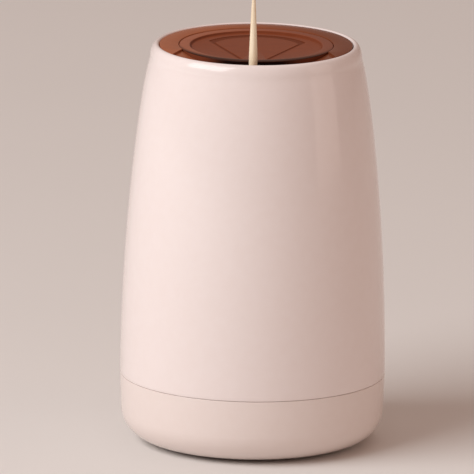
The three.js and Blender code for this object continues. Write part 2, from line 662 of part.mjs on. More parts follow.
// Clip: a thin ring in the pin's groove, open below
function makeAxleClip() {
  const inner = AXLE_DIAMETER / 2 - CLIP_GROOVE_DEPTH / 2;
  const start = axleEnd() + GAP + CLIP_THICKNESS / 4;
  const end = start + CLIP_THICKNESS / 2;
  const disc = crossBar(CLIP_RADIUS, start, end, pivotY, PIVOT_HEIGHT);
  const bore = crossBar(inner + CLIP_GROOVE_DEPTH, start - OVERRUN, end + OVERRUN, pivotY, PIVOT_HEIGHT);
  const mouth = block([start - OVERRUN, pivotY - inner, PIVOT_HEIGHT - 2 * CLIP_RADIUS],
    [end + OVERRUN, pivotY + inner, PIVOT_HEIGHT]);
  return disc.subtract(bore).subtract(mouth);
}

// Lever yoke, made level about its pivot: hub, two arms, two trunnions and a fork at each arm's end
function makeLeverYoke() {
  const inner = armInnerX;
  const outer = armInnerX + ARM_THICKNESS;
  const hub = crossBar(HUB_RADIUS, -outer, outer, 0, 0);
  const bore = crossBar(AXLE_DIAMETER / 2 + GAP, -bodyHeight, bodyHeight, 0, 0);
  const slotStart = -barReach + LIFTER_BAR_DIAMETER / 2 + FORK_SLOT_CLEARANCE;
  const neck = slotStart + FORK_NECK_LENGTH;
  const slotHalf = LIFTER_BAR_DIAMETER / 2 + FORK_SLOT_CLEARANCE;
  const tip = (FORK_HALF_HEIGHT - slotHalf) / 2;
  const armShape = outline([[0, HUB_RADIUS], [-TRUNNION_REACH, ARM_HALF_HEIGHT],
    [neck, ARM_HALF_HEIGHT], [slotStart, FORK_HALF_HEIGHT], [-forkReach + tip, FORK_HALF_HEIGHT],
    [-forkReach, slotHalf + tip], [-forkReach, -slotHalf - tip], [-forkReach + tip, -FORK_HALF_HEIGHT],
    [slotStart, -FORK_HALF_HEIGHT], [neck, -ARM_HALF_HEIGHT], [-TRUNNION_REACH, -ARM_HALF_HEIGHT],
    [0, -HUB_RADIUS]]);
  const slotShape = new THREE.Shape();
  slotShape.moveTo(-forkReach - OVERRUN, slotHalf);
  slotShape.lineTo(-forkReach - OVERRUN, -slotHalf);
  slotShape.lineTo(slotStart, -slotHalf);
  slotShape.absarc(slotStart, 0, slotHalf, -Math.PI / 2, Math.PI / 2);
  const arms = carryAlongX(armShape, inner, outer).add(carryAlongX(armShape, -outer, -inner));
  const slots = carryAlongX(slotShape, -outer - OVERRUN, outer + OVERRUN);
  const far = inner + TRUNNION_LENGTH;
  const trunnions = crossBar(TRUNNION_RADIUS, inner, far, -TRUNNION_REACH, 0).add(
    crossBar(TRUNNION_RADIUS, -far, -inner, -TRUNNION_REACH, 0));
  return hub.add(arms).add(trunnions).subtract(bore).subtract(slots);
}

// Lifter: the block that slides in the chute, with a hole for its bar and a cup for the pick's foot
function makeLifter() {
  const half = chuteHalf - GAP;
  const frontY = chuteFrontY + GAP;
  const body = block([-half, frontY, barHeight - LIFTER_BELOW_BAR],
    [half, frontY + LIFTER_LENGTH, cupTop]);
  const holeRadius = LIFTER_BAR_DIAMETER / 2 + GAP / 2;
  const hole = crossBar(holeRadius, -half - OVERRUN, half + OVERRUN, lifterBarY, barHeight);
  const cup = at(revolve([[0, cupTop - CUP_DEPTH], [CUP_FLOOR_RADIUS, cupTop - CUP_DEPTH],
    [CUP_MOUTH_RADIUS, cupTop], [CUP_MOUTH_RADIUS, cupTop + OVERRUN], [0, cupTop + OVERRUN]],
    ROUND_SIDES / 2), 0, outletY);
  return body.subtract(hole).subtract(cup);
}

// The crossbar that the lever's forks lift
function makeLifterBar() {
  const half = armInnerX + ARM_THICKNESS + GAP;
  const radius = LIFTER_BAR_DIAMETER / 2;
  const chamfer = radius / 4;
  const rod = revolve([[0, -half], [radius - chamfer, -half], [radius, -half + chamfer],
    [radius, half - chamfer], [radius - chamfer, half], [0, half]], ROUND_SIDES / 2);
  return at(rod.rotate([0, 90, 0]), 0, lifterBarY, barHeight);
}

// Pick: a round rod with a long, slightly full taper at each end
const taperFullShare = 0.45;
const taperRadiusShare = 0.68;
function makePick(x, y, foot) {
  const tip = PICK_TIP_DIAMETER / 2;
  const middle = tip + (pickRadius - tip) * taperRadiusShare;
  const half = [[tip, 0], [middle, PICK_TAPER * taperFullShare], [pickRadius, PICK_TAPER]];
  const back = half.map(([radius, height]) => [radius, PICK_LENGTH - height]).reverse();
  return at(revolve([[0, 0], ...half, ...back, [0, PICK_LENGTH]], PICK_SIDES), x, y, foot);
}

// Where the stock stands: rows that widen with the hopper, the first in its neck
function stockPlaces() {
  const places = [];
  const firstY = chuteBackY + pickRadius;
  for (let row = 0; row < PICK_ROWS; row += 1) {
    const y = firstY + row * PICK_SPACING;
    const room = 2 * (hopperOuterHalf(y - pickRadius) - HOPPER_WALL) - PICK_DIAMETER - 2 * GAP;
    const count = 1 + Math.max(0, Math.floor(room / PICK_SPACING));
    for (let i = 0; i < count; i += 1) {
      places.push([(i - (count - 1) / 2) * PICK_SPACING, y]);
    }
  }
  return places;
}

// Return spring: one unbroken wire whose end turns lie closer than its middle turns
function springPoint(share, bottom, height) {
  const angle = 2 * Math.PI * SPRING_TURNS * share;
  const eased = share - SPRING_END_SHARE * Math.sin(2 * Math.PI * share) / (2 * Math.PI);
  return new THREE.Vector3(SPRING_RADIUS * Math.cos(angle), SPRING_RADIUS * Math.sin(angle),
    bottom + height * eased);
}

function springSpan() {
  const reach = TRUNNION_RADIUS + GAP + SPRING_WIRE / 2;
  const bottom = plateTop + GAP + SPRING_WIRE / 2;
  return [bottom, trunnionHeight - reach - bottom];
}

function makeSpring(side) {
  const [bottom, height] = springSpan();
  const rings = SPRING_STEPS * SPRING_TURNS;
  const wire = SPRING_WIRE / 2;
  const positions = [];
  for (let ringIndex = 0; ringIndex <= rings; ringIndex += 1) {
    const share = ringIndex / rings;
    const centre = springPoint(share, bottom, height);
    const outwards = new THREE.Vector3(centre.x, centre.y, 0).normalize();
    for (let corner = 0; corner < SPRING_SIDES; corner += 1) {
      const turn = 2 * Math.PI * corner / SPRING_SIDES;
      const point = centre.clone().addScaledVector(outwards, wire * Math.cos(turn));
      positions.push(point.x, point.y, point.z + wire * Math.sin(turn));
    }
  }
  const index = [];
  for (let ringIndex = 0; ringIndex < rings; ringIndex += 1) {
    for (let corner = 0; corner < SPRING_SIDES; corner += 1) {
      const next = (corner + 1) % SPRING_SIDES;
      const [a, b] = [ringIndex * SPRING_SIDES + corner, ringIndex * SPRING_SIDES + next];
      const [c, d] = [a + SPRING_SIDES, b + SPRING_SIDES];
      index.push(a, b, c, b, d, c);
    }
  }
  const last = rings * SPRING_SIDES;
  for (let corner = 1; corner < SPRING_SIDES - 1; corner += 1) {
    index.push(0, corner + 1, corner, last, last + corner, last + corner + 1);
  }
  const geometry = new THREE.BufferGeometry();
  geometry.setAttribute('position', new THREE.Float32BufferAttribute(positions, 3));
  geometry.setIndex(index);
  return at(solid(geometry), side * legX, trunnionY);
}

// The least gap between one turn of the spring and the next, measured on points of its middle line
function springLeastGap() {
  const [bottom, height] = springSpan();
  const steps = SPRING_TURNS * ROUND_SIDES;
  const points = Array.from({ length: steps + 1 }, (_, i) => springPoint(i / steps, bottom, height));
  let least = Infinity;
  for (let i = 0; i <= steps; i += 1) {
    for (let j = i + ROUND_SIDES / 2; j <= steps; j += 1) {
      least = Math.min(least, points[i].distanceTo(points[j]));
    }
  }
  return least - SPRING_WIRE;
}

// Puts one named piece into a group
function piece(group, name, body, finish) {
  const mesh = new THREE.Mesh(geometryOf(body), new THREE.MeshStandardMaterial(finish));
  mesh.name = name;
  group.add(mesh);
}

const dispenser = new THREE.Group();

function addShell() {
  const group = new THREE.Group();
  piece(group, 'outer_shell', makeOuterShell(), shellPlastic);
  piece(group, 'outlet_collar', makeOutletCollar(), smokyPlastic);
  dispenser.add(group);
}

function addButton() {
  const group = new THREE.Group();
  piece(group, 'press_button', makePressButton(), smokyPlastic);
  piece(group, 'button_carrier', makeButtonCarrier(), innerPlastic);
  piece(group, 'push_leg_left', makePushLeg(-1), steel);
  piece(group, 'push_leg_right', makePushLeg(1), steel);
  dispenser.add(group);
}

function addBase() {
  const group = new THREE.Group();
  piece(group, 'base_cup', makeBaseCup(), shellPlastic);
  footPlaces().forEach((place, i) => piece(group, `foot_${i + 1}`, makeFoot(place), rubber));
  piece(group, 'chassis_plate', makeChassisPlate(), greyPlastic);
  const postScrewLength = PLATE_THICKNESS + GAP + POST_HEIGHT;
  chassisScrewPlaces().forEach((place, i) => {
    piece(group, `chassis_screw_${i + 1}`, makeScrew(place, plateTop, postScrewLength), steel);
  });
  piece(group, 'hopper', makeHopper(), innerPlastic);
  const tabSeat = hopperUnder + TAB_THICKNESS;
  const tabScrewLength = TAB_THICKNESS + GAP + PLATE_THICKNESS;
  const sides = ['left', 'right'];
  hopperScrewPlaces().forEach((place, i) => {
    piece(group, `hopper_screw_${sides[i]}`, makeScrew(place, tabSeat, tabScrewLength), steel);
  });
  piece(group, 'axle_pin', makeAxlePin(), steel);
  piece(group, 'axle_clip', makeAxleClip(), steel);
  piece(group, 'return_spring_left', makeSpring(-1), steel);
  piece(group, 'return_spring_right', makeSpring(1), steel);
  stockPlaces().forEach(([x, y], i) => {
    piece(group, `stock_pick_${i + 1}`, makePick(x, y, stockFoot), wood);
  });
  dispenser.add(group);
}

function addLever() {
  const group = new THREE.Group();
  piece(group, 'lever_yoke', makeLeverYoke(), greyPlastic);
  group.position.set(0, pivotY, PIVOT_HEIGHT);
  group.rotation.x = -swing;
  dispenser.add(group);
}

function addLifter() {
  const group = new THREE.Group();
  piece(group, 'lifter', makeLifter(), greyPlastic);
  piece(group, 'lifter_bar', makeLifterBar(), steel);
  piece(group, 'presented_pick', makePick(0, outletY, pickFoot), wood);
  dispenser.add(group);
}

addShell();
addButton();
addBase();
addLever();
addLifter();

const swingDegrees = THREE.MathUtils.radToDeg(swing);
console.log('press', press.toFixed(3), 'lift', LIFT, 'swing each way', swingDegrees.toFixed(3));
console.log('least gap between turns of a spring', springLeastGap().toFixed(2));

export default dispenser;
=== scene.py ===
"""Looks of the toothpick dispenser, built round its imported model.

The visible turned and moulded pieces are made again with smooth, finely rounded surfaces. The other
pieces of the model keep their shape and get softened edges. Every piece gets a procedural finish.
Pieces are worked in millimetres, as on a drawing, and become Blender objects in metres.
"""

import json
import logging
import math
from dataclasses import dataclass, field, replace
from enum import Enum
from typing import Iterable, Sequence

import bmesh
import bpy
from mathutils import Matrix, Quaternion, Vector

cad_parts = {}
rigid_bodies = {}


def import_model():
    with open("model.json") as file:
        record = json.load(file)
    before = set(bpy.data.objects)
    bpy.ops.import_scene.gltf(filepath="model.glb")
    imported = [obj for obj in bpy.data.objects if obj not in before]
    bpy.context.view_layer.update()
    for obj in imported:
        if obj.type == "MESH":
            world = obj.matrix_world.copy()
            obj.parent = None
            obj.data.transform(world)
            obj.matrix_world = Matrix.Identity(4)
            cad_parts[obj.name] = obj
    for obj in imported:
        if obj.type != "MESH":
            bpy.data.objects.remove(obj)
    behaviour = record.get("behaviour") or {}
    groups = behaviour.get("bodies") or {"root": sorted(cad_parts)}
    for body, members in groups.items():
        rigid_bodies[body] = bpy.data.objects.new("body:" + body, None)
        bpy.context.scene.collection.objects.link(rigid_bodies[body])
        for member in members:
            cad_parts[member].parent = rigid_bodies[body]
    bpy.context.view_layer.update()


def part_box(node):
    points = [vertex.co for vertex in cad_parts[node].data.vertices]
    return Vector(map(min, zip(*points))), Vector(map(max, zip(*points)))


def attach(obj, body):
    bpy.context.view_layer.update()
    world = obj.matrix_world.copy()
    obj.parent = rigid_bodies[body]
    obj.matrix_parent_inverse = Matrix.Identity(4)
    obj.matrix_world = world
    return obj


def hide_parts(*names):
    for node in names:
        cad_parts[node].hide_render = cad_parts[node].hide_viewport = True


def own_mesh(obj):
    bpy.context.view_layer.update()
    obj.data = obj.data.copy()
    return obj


log = logging.getLogger("toothpick_dispenser")

METRES_PER_MM = 0.001

# Points this near each other are one point, and a point this near a circular edge lies on it
SAME_POINT = 1e-5
ON_RING = 1e-3

# The two sides by name, with the sign of X there
SIDES = {"left": -1, "right": 1}

# Flats of a full turn on small round pieces, and on bores
ROUND_SIDES = 48
BORE_SIDES = 40

# Degrees under which an edge is shaded smooth and over which one is softened, and a softened edge's strips
SMOOTH_UNDER = 32.0
SOFTENED_OVER = 40.0
SOFTENED_STRIPS = 2

# The noise behind every finish: how fine and how rough it is, and the values that a finish spreads over
NOISE_DETAIL = 4.0
NOISE_ROUGHNESS = 0.55
NOISE_RANGE = (0.3, 0.7)

Point = tuple[float, float]
Place = tuple[float, float, float]
Colour = tuple[float, float, float]


class Join(Enum):
    """How one solid is combined with another."""

    ADD = "UNION"
    CUT = "DIFFERENCE"
    KEEP = "INTERSECT"


class Grain(Enum):
    """How a finish's pattern lies, as repeats per metre along X, Y and Z."""

    MOULDED = (420.0, 420.0, 420.0)
    FINE = (1500.0, 1500.0, 1500.0)
    ALONG_X = (90.0, 2600.0, 2600.0)
    ALONG_Z = (2600.0, 2600.0, 90.0)
    FIBRE = (2900.0, 2900.0, 55.0)
    FLOOR = (6.0, 6.0, 6.0)


class Measure(Enum):
    """What a painted shade goes by: the share of X, Y and Z that counts, and the point it is measured from.
    """

    HEIGHT = ((0.0, 0.0, 1.0), (0.0, 0.0, 0.0))
    SIDEWAYS = ((1.0, 0.0, 0.0), (0.0, 0.0, 0.0))
    FROM_LEFT = ((1.0, 0.0, 0.0), (-25.0, 0.0, 0.0))
    TO_FRONT = ((1.0, 1.0, 0.0), (0.0, 3.0, 0.0))


@dataclass(frozen=True)
class PaintedShade:
    """Painted shade: the colour darkens towards the side that the key lamp lights less, and down in or over
    the shaded trough.

    The colour is the darkest painted shade at the deep measure and the finish's own at the clear one, in
    millimetres.
    """

    colour: Colour
    measure: Measure
    deep: float
    clear: float

    def share(self, tree: bpy.types.NodeTree) -> bpy.types.NodeSocket:
        """How much of the finish's own colour shows.

        Args:
            tree: The node tree to build in.

        Returns:
            The socket that holds the share, 0 where the painted shade is darkest.
        """
        axes, centre = self.measure.value
        place = tree.nodes.new("ShaderNodeTexCoord")
        kept = tree.nodes.new("ShaderNodeVectorMath")
        kept.operation = "MULTIPLY"
        kept.inputs[1].default_value = axes
        away = tree.nodes.new("ShaderNodeVectorMath")
        away.operation = "DISTANCE"
        away.inputs[1].default_value = [value * METRES_PER_MM for value in centre]
        share = tree.nodes.new("ShaderNodeMapRange")
        share.interpolation_type = "SMOOTHSTEP"
        share.inputs["From Min"].default_value = self.deep * METRES_PER_MM
        share.inputs["From Max"].default_value = self.clear * METRES_PER_MM
        tree.links.new(place.outputs["Object"], kept.inputs[0])
        tree.links.new(kept.outputs["Vector"], away.inputs[0])
        tree.links.new(away.outputs["Value"], share.inputs["Value"])
        return share.outputs["Result"]


@dataclass(frozen=True)
class Finish:
    """One surface finish: a colour that drifts towards a second one, gloss that varies, and a faint relief.

    Colours are linear. The relief is the height of the surface's bumps in millimetres. Each painted shade
    lies over the ones before it.
    """

    name: str
    slot: str
    colour: Colour
    second_colour: Colour
    roughness: tuple[float, float]
    grain: Grain
    relief: float = 0.0
    metallic: float = 0.0
    specular: float = 0.5
    coat: float = 0.0
    coat_roughness: float = 0.05
    painted_shades: tuple[PaintedShade, ...] = ()

    def material(self) -> bpy.types.Material:
        """The finish's material, made once and shared by all its pieces.

        Returns:
            The material with its node tree.
        """
        found = bpy.data.materials.get(self.name)
        if found is not None:
            return found
        material = bpy.data.materials.new(self.name)
        material.use_nodes = True
        tree = material.node_tree
        tree.nodes.clear()
        output = tree.nodes.new("ShaderNodeOutputMaterial")
        surface = tree.nodes.new("ShaderNodeBsdfPrincipled")
        tree.links.new(surface.outputs["BSDF"], output.inputs["Surface"])
        surface.inputs["Metallic"].default_value = self.metallic
        surface.inputs["Specular IOR Level"].default_value = self.specular
        surface.inputs["Coat Weight"].default_value = self.coat
        surface.inputs["Coat Roughness"].default_value = self.coat_roughness
        pattern = self._pattern(tree)
        self._colour(tree, pattern, surface)
        self._gloss(tree, pattern, surface)
        if self.relief:
            self._relief(tree, pattern, surface)
        return material

    def _pattern(self, tree: bpy.types.NodeTree) -> bpy.types.Node:
        """Noise on the piece's own coordinates, stretched along the grain.

        Args:
            tree: The node tree to build in.

        Returns:
            The noise node.
        """
        place = tree.nodes.new("ShaderNodeTexCoord")
        mapping = tree.nodes.new("ShaderNodeMapping")
        mapping.inputs["Scale"].default_value = self.grain.value
        noise = tree.nodes.new("ShaderNodeTexNoise")
        noise.inputs["Scale"].default_value = 1.0
        noise.inputs["Detail"].default_value = NOISE_DETAIL
        noise.inputs["Roughness"].default_value = NOISE_ROUGHNESS
        tree.links.new(place.outputs["Object"], mapping.inputs["Vector"])
        tree.links.new(mapping.outputs["Vector"], noise.inputs["Vector"])
        return noise

    def _colour(self, tree: bpy.types.NodeTree, pattern: bpy.types.Node,
                surface: bpy.types.Node) -> None:
        """Lets the colour drift between the finish's two colours, and darken by its painted shades.

        Args:
            tree: The node tree to build in.
            pattern: The noise node.
            surface: The shader that takes the colour.
        """
        ramp = tree.nodes.new("ShaderNodeValToRGB")
        low, high = ramp.color_ramp.elements
        low.position, high.position = NOISE_RANGE
        low.color = (*self.second_colour, 1.0)
        high.color = (*self.colour, 1.0)
        tree.links.new(pattern.outputs["Fac"], ramp.inputs["Fac"])
        colour = ramp.outputs["Color"]
        # Each painted shade mixes its darker colour over the finish where the lamps would leave it in
        # shade.
        for shade_layer in self.painted_shades:
            mixed = tree.nodes.new("ShaderNodeMix")
            mixed.data_type = "RGBA"
            mixed.inputs["A"].default_value = (*shade_layer.colour, 1.0)
            tree.links.new(shade_layer.share(tree), mixed.inputs["Factor"])
            tree.links.new(colour, mixed.inputs["B"])
            colour = mixed.outputs["Result"]
        tree.links.new(colour, surface.inputs["Base Color"])

    def _gloss(self, tree: bpy.types.NodeTree, pattern: bpy.types.Node,
               surface: bpy.types.Node) -> None:
        """Lets the roughness vary between the finish's two values.

        Args:
            tree: The node tree to build in.
            pattern: The noise node.
            surface: The shader that takes the roughness.
        """
        spread = tree.nodes.new("ShaderNodeMapRange")
        spread.inputs["From Min"].default_value, spread.inputs["From Max"].default_value = NOISE_RANGE
        spread.inputs["To Min"].default_value, spread.inputs["To Max"].default_value = self.roughness
        tree.links.new(pattern.outputs["Fac"], spread.inputs["Value"])
        tree.links.new(spread.outputs["Result"], surface.inputs["Roughness"])

    def _relief(self, tree: bpy.types.NodeTree, pattern: bpy.types.Node,
                surface: bpy.types.Node) -> None:
        """Raises the pattern a little from the surface.

        Args:
            tree: The node tree to build in.
            pattern: The noise node.
            surface: The shader that takes the normal.
        """
        bump = tree.nodes.new("ShaderNodeBump")
        bump.inputs["Strength"].default_value = 1.0
        bump.inputs["Distance"].default_value = self.relief * METRES_PER_MM
        tree.links.new(pattern.outputs["Fac"], bump.inputs["Height"])
        tree.links.new(bump.outputs["Normal"], surface.inputs["Normal"])


SHELL_GLOSS = Finish("shell_gloss", "shell_plastic", colour=(0.87, 0.775, 0.75),
                     second_colour=(0.86, 0.76, 0.732), roughness=(0.09, 0.13), grain=Grain.MOULDED,
                     relief=0.0006, specular=0.4)
BASE_GLOSS = replace(SHELL_GLOSS, name="base_gloss", colour=(0.824, 0.722, 0.682),
                     second_colour=(0.814, 0.708, 0.665))
# Smoky rim: painted shade darkens it towards the right, away from the key lamp, and to near black at the
# front.
SMOKY_RIM = Finish("smoky_rim", "smoky_plastic", colour=(0.38, 0.127, 0.067),
                   second_colour=(0.35, 0.113, 0.059), roughness=(0.16, 0.24), grain=Grain.MOULDED,
                   relief=0.0015, specular=0.04, coat=0.05, coat_roughness=0.08,
                   painted_shades=(PaintedShade((0.23, 0.067, 0.035), Measure.FROM_LEFT, deep=43.0, clear=7.0),
                          PaintedShade((0.045, 0.011, 0.005), Measure.TO_FRONT, deep=19.8, clear=17.9)))
# Painted shade darkens it towards the right, away from the key lamp, and to near black from 93.8 to 92.3
# mm.
# Smoky collar: its own brown, lightened in part as a painted grey sheen.
SMOKY_COLLAR = replace(SMOKY_RIM, name="smoky_collar", colour=(0.395, 0.125, 0.055),
                       second_colour=(0.365, 0.113, 0.049), specular=0.05, coat=0.1,
                       painted_shades=(PaintedShade((0.18, 0.049, 0.021), Measure.FROM_LEFT, deep=48.0, clear=5.0),
                              PaintedShade((0.01, 0.002, 0.001), Measure.HEIGHT, deep=92.3, clear=93.8)))
SMOKY_DISH = replace(SMOKY_RIM, name="smoky_dish", colour=(0.24, 0.056, 0.02),
                     second_colour=(0.215, 0.047, 0.015), painted_shades=())
# Painted shade on the step between the button's rim and dish: its faces are darkened to show a shaded line.
STEP_PAINTED_SHADE = Finish("smoky_step", "smoky_plastic", colour=(0.185, 0.045, 0.018),
                    second_colour=(0.17, 0.04, 0.016), roughness=(0.3, 0.4), grain=Grain.MOULDED,
                    specular=0.04)
SMOKY_LINE = replace(STEP_PAINTED_SHADE, name="smoky_line", colour=(0.165, 0.037, 0.013),
                     second_colour=(0.15, 0.032, 0.011))
# Painted shade on the button's outer wall, seen in the trough: darker brown, near black within 6 mm of the
# middle.
SKIRT_PAINTED_SHADE = replace(STEP_PAINTED_SHADE, name="smoky_skirt", colour=(0.17, 0.045, 0.021),
                      second_colour=(0.155, 0.04, 0.018),
                      painted_shades=(PaintedShade((0.01, 0.0024, 0.0012), Measure.SIDEWAYS, deep=6.0, clear=13.0),))
INNER_SATIN = Finish("inner_satin", "inner_plastic", colour=(0.74, 0.7, 0.63),
                     second_colour=(0.7, 0.655, 0.58), roughness=(0.38, 0.5), grain=Grain.MOULDED,
                     relief=0.004)
GREY_SATIN = Finish("grey_satin", "grey_plastic", colour=(0.3, 0.31, 0.32),
                    second_colour=(0.26, 0.27, 0.28), roughness=(0.4, 0.55), grain=Grain.FINE,
                    relief=0.006)
STEEL_ACROSS = Finish("steel_drawn_across", "steel", colour=(0.66, 0.665, 0.68),
                      second_colour=(0.5, 0.505, 0.52), roughness=(0.18, 0.34), grain=Grain.ALONG_X,
                      relief=0.002, metallic=1.0)
STEEL_UPRIGHT = replace(STEEL_ACROSS, name="steel_drawn_upright", grain=Grain.ALONG_Z)
STEEL_COILED = replace(STEEL_ACROSS, name="steel_coiled", colour=(0.62, 0.625, 0.64),
                       second_colour=(0.46, 0.465, 0.48), roughness=(0.22, 0.36), grain=Grain.FINE)
PICK_WOOD = Finish("pick_wood_dry", "pick_wood", colour=(0.96, 0.85, 0.66),
                   second_colour=(0.84, 0.65, 0.44), roughness=(0.55, 0.72), grain=Grain.FIBRE,
                   relief=0.02, specular=0.3)
FOOT_RUBBER = Finish("foot_rubber", "rubber", colour=(0.045, 0.04, 0.037),
                     second_colour=(0.03, 0.027, 0.025), roughness=(0.7, 0.85), grain=Grain.FINE,
                     relief=0.01, specular=0.3)
FLOOR_PAPER = Finish("floor_paper", "floor", colour=(0.8, 0.775, 0.75),
                     second_colour=(0.79, 0.765, 0.74), roughness=(0.85, 0.9), grain=Grain.FLOOR,
                     specular=0.1)


def into_scene(name: str, data: bpy.types.ID) -> bpy.types.Object:
    """Puts a mesh, lamp or camera into the scene.

    Args:
        name: The new object's name.
        data: What it shows.

    Returns:
        The object.
    """
    thing = bpy.data.objects.new(name, data)
    bpy.context.scene.collection.objects.link(thing)
    return thing


class Workpiece:
    """A solid on the bench, in millimetres, before it becomes a piece."""

    def __init__(self) -> None:
        """Starts with an empty mesh."""
        self.mesh = bmesh.new()

    @classmethod
    def turned(cls, outline: Sequence[Point], steps: int) -> "Workpiece":
        """A solid of revolution about Z.

        Args:
            outline: Radius and height of each corner. An outline that doesn't start on the axis is closed.
            steps: How many flats make the full turn.

        Returns:
            The solid.
        """
        work = cls()
        corners = [work.mesh.verts.new((radius, 0.0, height)) for radius, height in outline]
        edges = [work.mesh.edges.new(pair) for pair in zip(corners, corners[1:])]
        if outline[0][0] > 0:
            edges.append(work.mesh.edges.new((corners[-1], corners[0])))
        bmesh.ops.spin(work.mesh, geom=corners + edges, cent=(0, 0, 0), axis=(0, 0, 1),
                       angle=math.tau, steps=steps, use_merge=True)
        return work.closed()

    @classmethod
    def bar(cls, radius: float, bottom: float, top: float, steps: int = ROUND_SIDES) -> "Workpiece":
        """An upright round bar or disc.

        Args:
            radius: Its radius.
            bottom: Height of its underside.
            top: Height of its upper side.
            steps: How many flats make the full turn.

        Returns:
            The solid.
        """
        return cls.turned([(0.0, bottom), (radius, bottom), (radius, top), (0.0, top)], steps)

    @classmethod
    def block(cls, low: Place, high: Place) -> "Workpiece":
        """A rectangular block.

        Args:
            low: Its lowest corner.
            high: Its highest corner.

        Returns:
            The solid.
        """
        work = cls()
        middle = [(a + b) / 2 for a, b in zip(low, high)]
        extent = [b - a for a, b in zip(low, high)]
        place = Matrix.Translation(middle) @ Matrix.Diagonal((*extent, 1.0))
        bmesh.ops.create_cube(work.mesh, size=1.0, matrix=place)
        return work

    @classmethod
    def carried(cls, corners: Sequence[Place], shift: Place) -> "Workpiece":
        """A flat face carried along a straight line.

        Args:
            corners: The face's corners.
            shift: How far it is carried along X, Y and Z.

        Returns:
            The solid.
        """
        work = cls()
        face = work.mesh.faces.new([work.mesh.verts.new(corner) for corner in corners])
        made = bmesh.ops.extrude_face_region(work.mesh, geom=[face])["geom"]
        far_end = [part for part in made if isinstance(part, bmesh.types.BMVert)]
        bmesh.ops.translate(work.mesh, verts=far_end, vec=shift)
        return work.closed()

    @classmethod
    def raised(cls, plan: Sequence[Point], bottom: float, top: float) -> "Workpiece":
        """A plan in XY raised from one height to another.

        Args:
            plan: The plan's corners.
            bottom: Height of its underside.
            top: Height of its upper side.

        Returns:
            The solid.
        """
        return cls.carried([(x, y, bottom) for x, y in plan], (0.0, 0.0, top - bottom))

    def closed(self) -> "Workpiece":
        """Merges doubled points and points every face outwards.

        Returns:
            The same solid.
        """
        bmesh.ops.remove_doubles(self.mesh, verts=self.mesh.verts, dist=SAME_POINT)
        bmesh.ops.recalc_face_normals(self.mesh, faces=self.mesh.faces)
        return self

    def rounded(self, edges: Iterable[bmesh.types.BMEdge], radius: float,
                segments: int = 3) -> "Workpiece":
        """Rounds some edges.

        Args:
            edges: The edges.
            radius: Size of the rounding.
            segments: How many strips make it.

        Returns:
            The same solid.
        """
        bmesh.ops.bevel(self.mesh, geom=list(edges), offset=radius, offset_type="OFFSET",
                        segments=segments, profile=0.5, affect="EDGES", clamp_overlap=True,
                        material=-1)
        return self

    def rounded_rings(self, rings: Sequence[Point], radius: float,
                      segments: int = 3) -> "Workpiece":
        """Rounds the circular edges of a turned solid.

        Args:
            rings: Radius and height of each circular edge.
            radius: Size of the rounding.
            segments: How many strips make it.

        Returns:
            The same solid.
        """
        spots = {vertex: Vector((math.hypot(vertex.co.x, vertex.co.y), vertex.co.z))
                 for vertex in self.mesh.verts}
        chosen = [edge for edge in self.mesh.edges
                  if any(all((spots[end] - Vector(ring)).length < ON_RING for end in edge.verts)
                         for ring in rings)]
        return self.rounded(chosen, radius, segments)

    def moved(self, x: float, y: float, z: float = 0.0) -> "Workpiece":
        """Shifts the solid.

        Args:
            x: Shift along X.
            y: Shift along Y.
            z: Shift along Z.

        Returns:
            The same solid.
        """
        bmesh.ops.translate(self.mesh, verts=self.mesh.verts, vec=(x, y, z))
        return self

    def laid_along_x(self) -> "Workpiece":
        """Turns the solid's Z axis onto X.

        Returns:
            The same solid.
        """
        turn = Matrix.Rotation(math.pi / 2, 3, "Y")
        bmesh.ops.rotate(self.mesh, verts=self.mesh.verts, cent=(0, 0, 0), matrix=turn)
        return self

    def combined(self, tool: "Workpiece", how: Join) -> "Workpiece":
        """Adds, cuts or keeps what a second solid covers.

        Args:
            tool: The second solid, which is used up.
            how: What is done with it.

        Returns:
            The same solid.
        """
        first, second = self._on_bench("bench_work"), tool._on_bench("bench_tool")
        modifier = first.modifiers.new(how.name, "BOOLEAN")
        modifier.operation = how.value
        modifier.solver = "EXACT"
        modifier.object = second
        graph = bpy.context.evaluated_depsgraph_get()
        result = bpy.data.meshes.new_from_object(first.evaluated_get(graph))
        self.mesh.clear()
        self.mesh.from_mesh(result)
        tool.mesh.free()
        for thing in (first, second):
            old = thing.data
            bpy.data.objects.remove(thing)
            bpy.data.meshes.remove(old)
        bpy.data.meshes.remove(result)
        bmesh.ops.dissolve_degenerate(self.mesh, dist=SAME_POINT, edges=self.mesh.edges)
        return self

    def _on_bench(self, name: str) -> bpy.types.Object:
        """A passing object that a modifier can work on.

        Args:
            name: Its name.

        Returns:
            The object, still in millimetres.
        """
        data = bpy.data.meshes.new(name)
        self.mesh.to_mesh(data)
        return into_scene(name, data)

    def piece(self, name: str, finishes: Sequence[Finish], body: str, replaced: Sequence[str],
              smooth_under: float = SMOOTH_UNDER) -> bpy.types.Object:
        """Turns the solid into a finished piece, in metres, and uses it up.

        Args:
            name: The piece's name.
            finishes: Its finishes. Faces name them by material index.
            body: The body of the model that the piece rides on.
            replaced: The nodes of the model that it stands for.
            smooth_under: Edges flatter than this many degrees are shaded smooth.

        Returns:
            The piece.
        """
        bmesh.ops.scale(self.mesh, verts=self.mesh.verts, vec=(METRES_PER_MM,) * 3)
        data = bpy.data.meshes.new(name)
        self.mesh.to_mesh(data)
        self.mesh.free()
        data.polygons.foreach_set("use_smooth", [True] * len(data.polygons))
        data.set_sharp_from_angle(angle=math.radians(smooth_under))
        for finish in finishes:
            data.materials.append(finish.material())
        thing = into_scene(name, data)
        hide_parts(*replaced)
        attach(thing, body)
        log.info("%s made, %d faces", name, len(data.polygons))
        return thing


